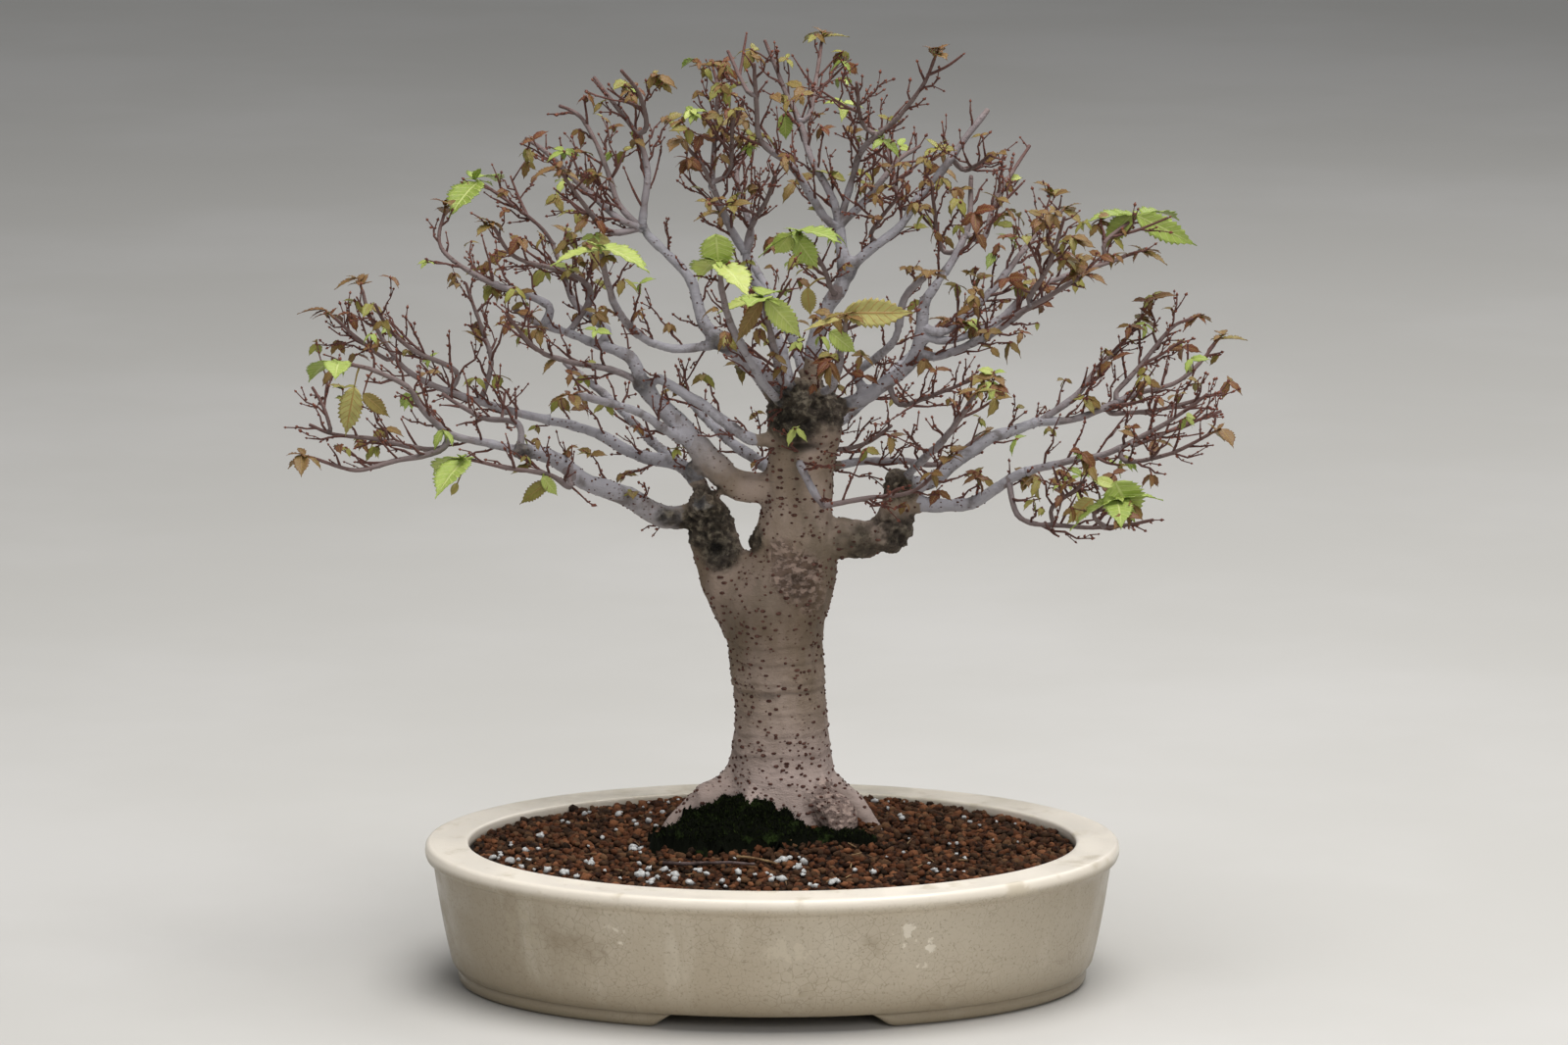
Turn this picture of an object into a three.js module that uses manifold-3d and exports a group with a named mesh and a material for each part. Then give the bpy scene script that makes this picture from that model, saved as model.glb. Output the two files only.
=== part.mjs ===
// A Japanese zelkova bonsai in its oval glazed pot, in spring, with the first leafy shoots.
// Millimetres. +Z is up, +X is to the right of the front, +Y goes to the back.
// The origin is the middle of the pot, on the surface that it stands on.
import * as THREE from "three";
import { mergeVertices } from "three/addons/utils/BufferGeometryUtils.js";
import Module from "manifold-3d";

const wasm = await Module();
wasm.setup();

// Pot
const potHalfLength = 200;
const potHalfDepth = 145;
const potHeight = 83;
const footHalfLength = 179;
const footHalfDepth = 115;
const footWidth = 14;
const footHeight = 12;
const lipHeight = 9;
const rimWidth = 25;
const wallThickness = 9;
const wallBow = 0.6;
const floorRound = 8;
const lipOverhang = 3;
const floorTop = 19;
const potSides = 34;
const cutTopWidth = 107;
const cutBottomWidth = 135;
const cutHeight = 10.5;
const drainRadius = 13;
const drainOffset = 78;

// Soil, and what lies in it and on it
const seatGap = 0.35;
const wallGap = 0.5;
const settleStep = 0.05;
const soilEdge = 79;
const moundHeight = 20;
const moundSpread = 75;
const trunkSide = 5;
const granuleRelief = 1.3;
const soilRings = 9;
const screenSize = 34;
const screenThickness = 1.5;
const screenHole = 9;

// Tree: it stands a little behind the middle of the pot
const treeDepth = 20;
const depthSpread = 1.4;
const twigSpacing = 72;
const twigStart = 0.3;
const tipRadius = 0.75;
const twigShortest = 15;
const twigLongest = 35;
const twigLift = 0.3;
const turnEach = 2.4;
const smoothing = 0.07;

// Leaves
const bladeThickness = 0.65;
const bladeFold = 0.22;
const bladeArch = 0.16;
const shootStem = 0.9;
const twigGap = 0.35;
const leastGap = 0.15;
const mostTries = 60;
const threeLeafShare = 0.1;

// The front view that the bough lists are written for: its distance, height and sideways place
const viewDistance = 4395;
const viewHeight = 1154;
const viewSide = 7;

const colours = {
  glaze: [0xd9cba6, 0.28],
  soil: [0x6b4230, 0.95],
  bark: [0x8a7a72, 0.85],
  bronze: [0x7a4a2a, 0.5],
  green: [0x86a63a, 0.45],
  moss: [0x2f3d1c, 1.0],
  straw: [0xb59a6a, 0.85],
  screen: [0x22282a, 0.6],
};

// Repeatable random numbers from 0 to 1
function randomFrom(seed) {
  let state = seed >>> 0;
  return () => {
    state = (state + 0x6d2b79f5) >>> 0;
    let t = state;
    t = Math.imul(t ^ (t >>> 15), t | 1);
    t ^= t + Math.imul(t ^ (t >>> 7), t | 61);
    return ((t ^ (t >>> 14)) >>> 0) / 4294967296;
  };
}

const at = (x, y, z) => new THREE.Vector3(x, y, z);
const mix = (a, b, t) => a + (b - a) * t;

// A place on the front plane, pushed along the line of sight to its own depth
function seen(x, z, depth) {
  const y = treeDepth + depth * depthSpread;
  const scale = 1 + y / viewDistance;
  return at(viewSide + (x - viewSide) * scale, y, viewHeight + (z - viewHeight) * scale);
}

// Geometry to solid and back

function solid(geometry) {
  const bare = geometry.index ? geometry.toNonIndexed() : geometry;
  bare.deleteAttribute("normal");
  bare.deleteAttribute("uv");
  const merged = mergeVertices(bare, 1e-4);
  const corners = merged.index.array;
  const kept = [];
  for (let i = 0; i < corners.length; i += 3) {
    const [a, b, c] = [corners[i], corners[i + 1], corners[i + 2]];
    if (a !== b && b !== c && c !== a) kept.push(a, b, c);
  }
  return new wasm.Manifold(new wasm.Mesh({
    numProp: 3,
    vertProperties: new Float32Array(merged.attributes.position.array),
    triVerts: new Uint32Array(kept),
  }));
}

function largestBody(shape) {
  return shape.decompose().sort((a, b) => b.volume() - a.volume())[0];
}

function meshOf(name, shape, [colour, roughness]) {
  const body = shape.getMesh();
  const geometry = new THREE.BufferGeometry();
  geometry.setAttribute("position", new THREE.BufferAttribute(body.vertProperties, 3));
  geometry.setIndex(new THREE.BufferAttribute(body.triVerts, 1));
  geometry.computeVertexNormals();
  const mesh = new THREE.Mesh(geometry, new THREE.MeshStandardMaterial({ color: colour, roughness }));
  mesh.name = name;
  return mesh;
}

// A closed skin over rings of points, with a fan at each end
function loft(rings, startCap, endCap) {
  const points = [startCap, ...rings.flat(), endCap];
  const count = rings[0].length;
  const last = points.length - 1;
  const faces = [];
  const index = (ring, i) => 1 + ring * count + (i % count);
  for (let i = 0; i < count; i += 1) {
    faces.push(0, index(0, i + 1), index(0, i));
    faces.push(last, index(rings.length - 1, i), index(rings.length - 1, i + 1));
    for (let ring = 0; ring < rings.length - 1; ring += 1) {
      faces.push(index(ring, i), index(ring, i + 1), index(ring + 1, i + 1));
      faces.push(index(ring, i), index(ring + 1, i + 1), index(ring + 1, i));
    }
  }
  const geometry = new THREE.BufferGeometry().setFromPoints(points);
  geometry.setIndex(faces);
  return solid(geometry);
}

// A tapering round tube through points, each with its own radius. Where it grows out of thicker
// wood it starts as a point in the middle of that wood and is full at its skin, sunk away.
function tube(points, radii, sides, sunk = 0) {
  const rings = [];
  const root = points[0];
  if (sunk > 0) {
    const first = points[1].clone().sub(root);
    const step = Math.min(sunk, first.length() * 0.6);
    points = [root.clone().addScaledVector(first.normalize(), step), ...points.slice(1)];
  }
  let across = null;
  points.forEach((point, i) => {
    const before = points[Math.max(i - 1, 0)];
    const after = points[Math.min(i + 1, points.length - 1)];
    const along = after.clone().sub(before).normalize();
    if (!across) across = Math.abs(along.z) > 0.9 ? at(1, 0, 0) : at(0, 0, 1);
    across = across.clone().addScaledVector(along, -across.dot(along)).normalize();
    const other = along.clone().cross(across);
    rings.push(Array.from({ length: sides }, (_, k) => {
      const angle = (2 * Math.PI * k) / sides;
      return point.clone()
        .addScaledVector(across, radii[i] * Math.cos(angle))
        .addScaledVector(other, radii[i] * Math.sin(angle));
    }));
  });
  const end = points[points.length - 1];
  const run = end.clone().sub(points[points.length - 2]).normalize();
  const tip = end.clone().addScaledVector(run, radii[radii.length - 1] * 0.5);
  return loft(rings, root, tip);
}

// Pot

function oval(halfLength, halfDepth, z) {
  return Array.from({ length: potSides }, (_, i) => {
    const angle = (2 * Math.PI * i) / potSides;
    return at(halfLength * Math.cos(angle), halfDepth * Math.sin(angle), z);
  });
}

// The bowed outer wall, inset by some amount, at a height
function wallOval(z, inset) {
  const rise = Math.pow(z / potHeight, wallBow);
  const halfLength = mix(footHalfLength, potHalfLength - lipOverhang, rise) - inset;
  const halfDepth = mix(footHalfDepth, potHalfDepth - lipOverhang, rise) - inset;
  return oval(halfLength, halfDepth, z);
}

// The inside of the pot from the rim down, kept clear of by a gap
function innerRings(gap) {
  const rim = rimWidth + gap;
  const underRim = potHeight - lipHeight - gap;
  return [
    oval(potHalfLength - rim, potHalfDepth - rim, underRim),
    wallOval(underRim - 3, wallThickness + gap),
    wallOval(floorTop + floorRound, wallThickness + 2 + gap),
    wallOval(floorTop + gap, wallThickness + 2 + floorRound + gap),
  ];
}

function makePot() {
  const lip = (inset, drop) => oval(potHalfLength - inset, potHalfDepth - inset, potHeight - drop);
  const foot = (inset, z) => oval(footHalfLength - inset, footHalfDepth - inset, z);
  const rings = [
    foot(footWidth + 2, footHeight),
    foot(footWidth, 0),
    foot(0, 0),
    foot(-2, 1.5),
    foot(-2.5, 7),
    wallOval(10, 2),
    wallOval(13, 0),
    wallOval(38, 0),
    wallOval(72, 0),
    lip(0.5, 9),
    lip(0, 3),
    lip(1.6, 0),
    lip(rimWidth - 1.5, 0),
    lip(rimWidth, 1.5),
    ...innerRings(0),
  ];
  const body = loft(rings, at(0, 0, footHeight), at(0, 0, floorTop));
  const cutShape = new THREE.Shape([
    new THREE.Vector2(-cutBottomWidth / 2, -1),
    new THREE.Vector2(cutBottomWidth / 2, -1),
    new THREE.Vector2(cutTopWidth / 2, cutHeight),
    new THREE.Vector2(-cutTopWidth / 2, cutHeight),
  ]);
  const cut = new THREE.ExtrudeGeometry(cutShape, { depth: 2 * potHalfDepth, bevelEnabled: false });
  cut.rotateX(Math.PI / 2);
  cut.translate(0, potHalfDepth, 0);
  let pot = body.subtract(solid(cut));
  for (const side of [-1, 1]) {
    const drain = new THREE.CylinderGeometry(drainRadius, drainRadius, 4 * wallThickness, 12);
    drain.rotateX(Math.PI / 2);
    drain.translate(side * drainOffset, 0, floorTop);
    pot = pot.subtract(solid(drain));
  }
  return pot;
}

function boxAt(width, depth, height, x, y, z) {
  return solid(new THREE.BoxGeometry(width, depth, height).translate(x, y, z));
}

const screenMiddle = floorTop + seatGap + screenThickness / 2;

function makeScreen(side) {
  const x = side * drainOffset;
  let screen = boxAt(screenSize, screenSize, screenThickness, x, 0, screenMiddle);
  const pitch = screenSize / 4.4;
  for (const column of [-1, 1]) {
    for (const row of [-1, 1]) {
      const hole = boxAt(screenHole, screenHole, 4, x + column * pitch, row * pitch, screenMiddle);
      screen = screen.subtract(hole);
    }
  }
  return screen;
}

// Soil

function soilHeight(x, y) {
  const far = Math.hypot(x - trunkSide, y - treeDepth) / moundSpread;
  return soilEdge + moundHeight * Math.exp(-far * far);
}

function makeSoil() {
  const random = randomFrom(11);
  const below = innerRings(wallGap).reverse();
  const inset = rimWidth + wallGap;
  const top = [];
  for (let ring = 0; ring < soilRings; ring += 1) {
    const share = 1 - ring / soilRings;
    const row = oval((potHalfLength - inset) * share, (potHalfDepth - inset) * share, 0);
    row.forEach((point, i) => {
      const bump = (ring + i) % 2 ? 1 : -0.6;
      const relief = ring === 0 ? 0 : granuleRelief * bump * mix(0.6, 1.2, random());
      point.z = soilHeight(point.x, point.y) + relief;
    });
    top.push(row);
  }
  const floor = at(0, 0, floorTop + wallGap);
  const crown = at(0, 0, soilHeight(0, 0));
  let soil = loft([...below, ...top], floor, crown);
  soil = soil.subtract(makeRootBase(seatGap));
  const pocket = screenSize + 2 * seatGap;
  for (const side of [-1, 1]) {
    const height = screenThickness + 2 * seatGap + 2;
    const middle = screenMiddle + seatGap - height / 2 + screenThickness / 2;
    soil = soil.subtract(boxAt(pocket, pocket, height, side * drainOffset, 0, middle));
  }
  return largestBody(soil);
}

function makeMoss(soil) {
  const pads = [[-19, -22, 46, 22, 10], [-14, -8, 34, 16, 15], [38, -22, 20, 9, 4]];
  const shapes = pads.map(([x, y, halfLength, halfDepth, height]) => {
    const ball = new THREE.SphereGeometry(1, 8, 4);
    ball.scale(halfLength, halfDepth, height);
    ball.translate(x, y, soilHeight(x, y));
    return solid(ball);
  });
  const pad = wasm.Manifold.union(shapes);
  const clear = pad.subtract(soil.translate([0, 0, seatGap])).subtract(makeRootBase(2 * seatGap));
  return largestBody(clear);
}

// Lowers a piece until it lies on what is below it
function settle(shape, support) {
  let lowered = shape;
  while (lowered.minGap(support, 5) > seatGap) lowered = lowered.translate([0, 0, -settleStep]);
  return lowered;
}

function makeStalk(soil) {
  const run = [[-62, -62], [-45, -66], [-28, -67], [-10, -71]];
  const radius = 1.1;
  const clear = granuleRelief * 1.2 + radius + 2 * seatGap;
  const points = run.map(([x, y]) => at(x, y, soilHeight(x, y) + clear));
  return settle(tube(points, [radius, 1, 0.9, 0.8], 6), soil);
}

// Tree: the flared foot as levels [z, radius], and the surface roots as points [x, y, z, radius]
const footLevels = [[60, 26], [92, 37], [108, 33.5], [128, 28.5]];
const roots = [
  [[-14, 16, 114, 12.5], [-43, 12, 100, 9.5], [-66, 8, 79, 3]],
  [[22, 18, 118, 11], [44, 16, 102, 7.5], [66, 8, 80, 3]],
  [[20, 3, 113, 12], [37, -11, 99, 10.5], [43, -27, 78, 5]],
  [[-6, 2, 114, 10], [-15, -14, 99, 6.5], [-24, -34, 78, 2.5]],
  [[-8, 34, 112, 9], [-34, 64, 80, 3]],
  [[22, 34, 112, 9], [46, 62, 80, 3]],
];

function makeRootBase(grow) {
  const foot = tube(
    footLevels.map(([z]) => at(trunkSide, treeDepth, z)),
    footLevels.map(([, radius]) => radius + grow),
    12,
  );
  const arms = roots.map((root) => tube(
    root.map(([x, y, z]) => at(x, y, z)),
    root.map(([, , , radius]) => radius + grow),
    5,
  ));
  return wasm.Manifold.union([foot, ...arms]);
}

// Thick wood as points [x, z, radius] on the front plane
const stems = {
  trunk: [[5, 116, 30], [5, 149, 27.5], [4, 173, 26], [2, 200, 27], [1, 222, 31], [9, 238, 28.5],
    [13, 250, 24.5], [13, 266, 22.5], [15, 284, 20], [16, 302, 19.5], [18, 320, 21.5],
    [18, 336, 21], [19, 347, 12]],
  "left trunk": [[-8, 214, 23], [-22, 232, 17.5], [-28, 246, 14.5], [-32, 258, 14], [-35, 270, 12],
      [-38, 282, 9]],
  "right stub": [[12, 246, 17], [33, 260, 12], [56, 260, 10.5], [68, 267, 11], [71, 280, 9.5],
    [72, 291, 6.5]],
};

// Boughs: name, what each grows on, thickness radius at both ends, depth at both ends, then [x, z]
// points on the front plane. A leaf kind at the end says what grows on the tip.
const boughs = [
  ["low left", "left trunk", 7.5, 4.2, 0, -30, [[-60, 272], [-85, 286], [-106, 293], [-127, 308],
      [-144, 311]]],
  ["low left end", "low left", 2.6, 1.1, -30, -52,
    [[-160, 315], [-184, 321], [-200, 336], [-208, 348], [-227, 358], [-244, 362]], "green"],
  ["low left floor", "low left end", 2, 0.9, -36, -60, [[-190, 311], [-216, 305], [-238, 300], [-262, 307]],
    "bronze"],
  ["far left", "low left end", 1.8, 0.9, -32, -30, [[-192, 312], [-227, 318], [-250, 321], [-264, 326]]],
  ["far left riser", "far left", 1.2, 0.9, -31, -20, [[-252, 324], [-256, 337], [-262, 348]]],
  ["low left riser", "low left", 2.2, 1, -24, 12, [[-145, 327], [-166, 331], [-188, 344]]],
  ["low left under", "low left", 2, 0.9, -30, -50, [[-116, 290], [-127, 297], [-150, 301], [-172, 306]],
    "green"],
  ["level left", "left trunk", 4.6, 3, 6, 44, [[-49, 301], [-77, 309], [-102, 322], [-127, 329]]],
  ["level left end", "level left", 2.6, 1, 44, 60,
    [[-144, 333], [-177, 343], [-199, 352], [-214, 364], [-228, 388], [-233, 404]], "bronze"],
  ["level left tip", "level left end", 1.4, 0.9, 56, 66, [[-219, 364], [-236, 376], [-249, 388]], "bronze"],
  ["level left fork", "level left end", 1.8, 0.9, 48, 30,
    [[-180, 357], [-205, 370], [-218, 382], [-226, 396]]],
  ["level left riser", "level left end", 1.8, 0.9, 46, 80, [[-160, 362], [-166, 384], [-174, 408]]],
  ["middle left", "trunk", 10.5, 4.6, 0, -8, [[-21, 292], [-33, 303], [-48, 320], [-66, 340], [-74, 350]]],
  ["middle left end", "middle left", 4.2, 1.6, -8, 20,
    [[-82, 366], [-105, 375], [-118, 380], [-135, 386], [-147, 394]]],
  ["middle left riser", "middle left end", 2.8, 1.2, 0, 50,
    [[-94, 380], [-102, 388], [-113, 398], [-120, 418], [-124, 430]]],
  ["left pair twig", "middle left riser", 1.2, 0.9, 50, 56, [[-132, 441], [-148, 454], [-164, 465]], "green"],
  ["middle left tip", "middle left end", 2.6, 0.9, 10, 40,
    [[-127, 395], [-144, 403], [-166, 411], [-188, 429], [-186, 448]], "bronze"],
  ["middle left cross", "middle left end", 2, 1, 12, -30,
    [[-103, 402], [-116, 414], [-145, 423], [-158, 440]],
    "bronze"],
  ["middle left low", "middle left", 2.2, 0.9, -10, -50, [[-91, 358], [-119, 364], [-135, 371], [-151, 390]]],
  ["inner left", "middle left", 3.4, 2, -8, -55, [[-52, 318], [-74, 332], [-96, 340], [-112, 343]], "bronze"],
  ["left bridge", "trunk", 4.4, 3, -10, -8, [[-10, 318], [-27, 328], [-40, 338], [-66, 354]]],
  ["upper left", "trunk", 7.5, 5.2, -2, -14, [[4, 345], [-8, 358], [-20, 368], [-26, 374]]],
  ["upper left level", "upper left", 3.2, 1.6, -12, -60,
    [[-53, 370], [-74, 377], [-87, 391], [-93, 406], [-97, 425]],
    "green"],
  ["upper left riser", "upper left", 4.2, 2.6, -12, 0, [[-38, 384], [-46, 410], [-60, 425], [-74, 440]]],
  ["upper left top", "upper left riser", 2.4, 1, 0, 12,
    [[-72, 457], [-71, 474], [-76, 492], [-87, 508], [-101, 526]]],
  ["upper left top fork", "upper left top", 1.6, 0.9, 4, -18, [[-71, 498], [-75, 516], [-85, 530]]],
  ["upper left side", "upper left riser", 2, 1, 0, 40, [[-86, 452], [-94, 475], [-107, 502], [-120, 510]]],
  ["upper left fan", "upper left riser", 2.2, 1, -2, 56, [[-88, 446], [-111, 467], [-129, 484], [-139, 491]]],
  ["upper left low", "upper left riser", 2, 1, -8, -44, [[-92, 438], [-108, 455], [-119, 471]], "bronze"],
  ["second stem", "trunk", 4.2, 2.6, -10, 8,
    [[10, 352], [5, 372], [-3, 388], [-5, 402], [-13, 413], [-15, 426]]],
  ["second stem left", "second stem", 2.6, 1, 8, -10, [[-21, 435], [-29, 452], [-38, 473], [-48, 486]],
    "bronze"],
  ["second stem tall", "second stem left", 1.8, 0.9, 2, 24, [[-34, 466], [-32, 500], [-31, 521], [-33, 530]],
    "bronze"],
  ["second stem fork", "second stem left", 1.6, 0.9, 2, -24, [[-24, 473], [-22, 499], [-16, 513]]],
  ["second stem right", "second stem", 2, 1, 6, -30, [[-12, 440], [-3, 456], [2, 470]]],
  ["second stem back", "second stem", 2.2, 1, 10, 70, [[-12, 438], [-20, 468], [-14, 490]], "bronze"],
  ["front centre", "trunk", 3, 1.2, -20, -75, [[6, 352], [0, 376], [-5, 398]], "green"],
  ["leader", "trunk", 5.6, 4.8, 0, 4, [[22, 345], [24, 372], [30, 391], [38, 404], [42, 414]]],
  ["leader top", "leader", 4.4, 3, 4, 8, [[40, 426], [38, 441]]],
  ["leader left", "leader top", 2.8, 1, 6, -18, [[30, 446], [13, 473], [-6, 490], [-9, 514], [-10, 534]]],
  ["leader left twig", "leader left", 1.4, 0.9, -10, 6, [[-14, 518], [-21, 532], [-25, 541]]],
  ["leader front", "leader", 1.8, 0.9, -6, -55, [[34, 404], [28, 420], [16, 436]], "green"],
  ["leader centre", "leader top", 2.6, 1, 8, 36, [[34, 457], [22, 480], [17, 498], [8, 517], [-4, 547]]],
  ["leader centre right", "leader centre", 1.8, 0.9, 24, 50, [[21, 504], [25, 525], [28, 546]], "bronze"],
  ["leader right", "leader top", 2.6, 1, 8, 26, [[54, 457], [70, 477], [84, 487]]],
  ["leader right tall", "leader top", 2.4, 0.9, 8, -26,
    [[46, 470], [52, 486], [72, 504], [85, 521], [92, 537]],
    "bronze"],
  ["leader right thin", "leader right tall", 1.4, 0.9, -6, -34, [[51, 500], [48, 523]]],
  ["right fork", "leader", 3.6, 1.6, 4, 26,
    [[54, 426], [72, 440], [82, 456], [97, 474], [116, 500], [122, 507]]],
  ["right fork low", "right fork", 1.6, 0.9, 22, 2, [[110, 473], [124, 482]]],
  ["right fork back", "right fork", 1.6, 0.9, 16, 62, [[72, 454], [68, 477], [61, 497]]],
  ["right fork spur", "right fork", 1.4, 0.9, 10, -42, [[56, 436], [65, 450], [72, 458]]],
  ["upper right", "trunk", 5.2, 3.6, 0, -10, [[30, 336], [48, 340], [66, 351], [82, 367], [87, 398]]],
  ["upper right riser", "upper right", 3, 1.2, -10, 14, [[94, 408], [107, 429], [112, 446], [113, 470]]],
  ["upper right riser fork", "upper right riser", 1.5, 0.9, 4, -22, [[96, 428], [92, 450], [91, 464]]],
  ["upper right tall", "upper right riser", 2, 0.9, 0, 46, [[120, 434], [126, 455], [135, 470], [146, 487]]],
  ["upper right grey", "upper right", 2.8, 1.2, -10, 60,
    [[99, 381], [124, 403], [140, 423], [152, 439], [164, 449]], "bronze"],
  ["upper right brown", "upper right", 3, 1, -10, 30,
    [[101, 375], [129, 387], [149, 405], [185, 418], [205, 425]],
    "bronze"],
  ["upper right leafy", "upper right brown", 1.4, 0.9, 22, 34, [[189, 432], [206, 445]], "green"],
  ["upper right low", "upper right", 2.8, 1.2, -8, -60,
    [[96, 366], [123, 378], [143, 392], [163, 404], [176, 412]],
    "bronze"],
  ["upper right low fork", "upper right low", 1.8, 0.9, -36, -80, [[146, 399], [158, 420], [166, 446]]],
  ["upper right stub", "upper right", 3.2, 2, 0, -34, [[48, 356], [60, 366], [70, 376], [75, 399], [86, 411]],
    "bronze"],
  ["upper right front", "upper right", 1.8, 0.9, -10, -58, [[73, 338], [90, 343], [116, 353]], "bronze"],
  ["front right", "trunk", 3, 1.2, -18, -90, [[34, 348], [40, 372], [42, 388]], "bronze"],
  ["trunk right thin", "trunk", 1.8, 1, 0, -16, [[38, 312], [54, 316], [68, 326]]],
  ["trunk right", "trunk", 3, 1.2, 8, 34, [[34, 302], [51, 305], [74, 305], [96, 304], [118, 319]], "bronze"],
  ["front stub", "trunk", 3.4, 2, -20, -36, [[16, 304], [22, 291], [29, 279]]],
  ["front red", "front stub", 1.6, 0.9, -34, -58, [[51, 283], [81, 288], [99, 306]], "bronze"],
  ["low right", "right stub", 5, 3, 0, -14, [[90, 280], [112, 280], [130, 291], [145, 299]]],
  ["low right end", "low right", 2.4, 0.9, -16, -28,
    [[168, 305], [190, 309], [212, 320], [232, 332], [248, 344]]],
  ["low right tip", "low right end", 1.5, 0.9, -24, -44, [[202, 305], [226, 309], [250, 321]], "bronze"],
  ["low right fork", "low right end", 1.4, 0.9, -22, -4, [[206, 314], [230, 324], [256, 334]]],
  ["low right under", "low right", 1.8, 0.9, -20, -54, [[142, 272], [170, 267], [196, 267], [218, 271]]],
  ["low right leafy", "low right under", 1.4, 0.9, -46, -62, [[184, 274], [196, 282]], "green"],
  ["low right hook", "low right under", 1.4, 0.9, -30, -72, [[160, 278], [174, 289], [179, 294]]],
  ["middle right", "right stub", 5, 3, 0, 22, [[90, 293], [107, 306], [124, 318], [134, 322], [152, 328]]],
  ["middle right end", "middle right", 2.4, 0.9, 22, 36,
    [[174, 330], [207, 344], [229, 350], [243, 362], [252, 373]],
    "bronze"],
  ["middle right level", "middle right end", 1.6, 0.9, 26, 2, [[193, 333], [221, 335], [256, 345]]],
  ["middle right riser", "middle right", 2.2, 1, 24, 48, [[174, 344], [184, 358], [199, 373], [208, 385]],
    "bronze"],
  ["middle right high", "middle right end", 1.6, 0.9, 26, 60,
    [[196, 345], [211, 362], [227, 382], [239, 388]],
    "bronze"],
  ["back low", "trunk", 5, 2.4, 8, 88, [[18, 290], [-6, 304], [-30, 322], [-52, 346]], "bronze"],
  ["back right", "trunk", 4.6, 2.2, 8, 88, [[30, 322], [52, 340], [74, 362], [96, 384]], "bronze"],
  ["back high", "trunk", 4, 1.8, 8, 86, [[20, 352], [8, 384], [-8, 414], [-26, 444]], "bronze"],
  ["back left", "left trunk", 4, 1.8, 8, 88, [[-46, 296], [-70, 318], [-96, 344], [-118, 362]], "bronze"],
  ["front left", "trunk", 3.4, 1.4, -14, -112, [[4, 340], [-14, 366], [-26, 392], [-30, 418]], "green"],
  ["front low right", "right stub", 3, 1.2, -8, -104, [[80, 300], [98, 318], [116, 344]], "bronze"],
];

function nearestOn(line, target) {
  let best = null;
  for (let i = 0; i < line.length - 1; i += 1) {
    const place = new THREE.Line3(line[i], line[i + 1]).closestPointToPoint(target, true, at(0, 0, 0));
    if (!best || place.distanceTo(target) < best.distanceTo(target)) best = place;
  }
  return best;
}

function lengthsAlong(points) {
  const lengths = [0];
  for (let i = 1; i < points.length; i += 1) {
    lengths.push(lengths[i - 1] + points[i].distanceTo(points[i - 1]));
  }
  return lengths;
}

function placeBough([name, parent, startRadius, endRadius, startDepth, endDepth, flat, leaf], lines) {
  const depthAt = (i) => mix(startDepth, endDepth, i / (flat.length - 1));
  const points = flat.map(([x, z], i) => seen(x, z, depthAt(i)));
  points.unshift(nearestOn(lines[parent], points[0]));
  const lengths = lengthsAlong(points);
  const whole = lengths[lengths.length - 1];
  const radii = lengths.map((length) => mix(startRadius, endRadius, length / whole));
  return { name, points, radii, leaf, sunk: startRadius };
}

// Side twigs along the outer part of a thin bough, turning round it as they go
function twigsOf(bough, seed) {
  const random = randomFrom(seed);
  const lengths = lengthsAlong(bough.points);
  const whole = lengths[lengths.length - 1];
  const twigs = [];
  for (let run = whole * twigStart + 6; run < whole - 8; run += twigSpacing) {
    const i = lengths.findIndex((length) => length > run);
    const share = (run - lengths[i - 1]) / (lengths[i] - lengths[i - 1]);
    const base = bough.points[i - 1].clone().lerp(bough.points[i], share);
    const along = bough.points[i].clone().sub(bough.points[i - 1]).normalize();
    const across = along.clone().cross(at(0, 0, 1)).normalize();
    const other = along.clone().cross(across);
    const turn = twigs.length * turnEach + random() * 0.9;
    const lean = 0.65 + random() * 0.35;
    const reach = mix(twigShortest, twigLongest, random());
    const heading = along.clone().multiplyScalar(Math.cos(lean))
      .addScaledVector(across, Math.cos(turn) * Math.sin(lean))
      .addScaledVector(other, Math.sin(turn) * Math.sin(lean));
    heading.z += twigLift;
    heading.normalize();
    const end = base.clone().addScaledVector(heading, reach);
    end.z += reach * 0.12;
    const thick = mix(bough.radii[i - 1], bough.radii[i], share);
    twigs.push({ points: [base, end], radii: [Math.min(1, thick), tipRadius], sunk: thick + 1 });
  }
  return twigs;
}

function sidesFor(radius) {
  if (radius > 6) return 7;
  if (radius > 3) return 5;
  return radius > 1.9 ? 4 : 3;
}

// Every line of wood, and the tips that carry shoots
function growTree() {
  const lines = {};
  const wood = [];
  const tips = [];
  for (const [name, sections] of Object.entries(stems)) {
    const points = sections.map(([x, z]) => seen(x, z, 0));
    lines[name] = points;
    wood.push({ points, radii: sections.map(([, , radius]) => radius), sides: name === "trunk" ? 12 : 9 });
  }
  boughs.forEach((row, i) => {
    const bough = placeBough(row, lines);
    lines[bough.name] = bough.points;
    wood.push({ ...bough, sides: sidesFor(bough.radii[0]) });
    if (bough.leaf) tips.push(bough);
    if (bough.radii[bough.radii.length - 1] < 1.3) {
      twigsOf(bough, 100 + i).forEach((twig) => wood.push({ ...twig, sides: 3 }));
    }
  });
  return { wood, tips };
}

// Knobs of old pruning: [x, z, depth, radius]
const knobs = [
  [-39, 280, -4, 10], [-44, 300, 0, 6.5], [-74, 350, -8, 6], [-144, 311, -30, 5.5], [-28, 374, -14, 6.5],
  [11, 340, -5, 11], [28, 336, 0, 12], [72, 292, 0, 8.5], [69, 265, 0, 12.5], [43, 415, 4, 5.8],
  [-74, 441, 0, 4.2], [-8, 259, -4, 6.5],
];

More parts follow.
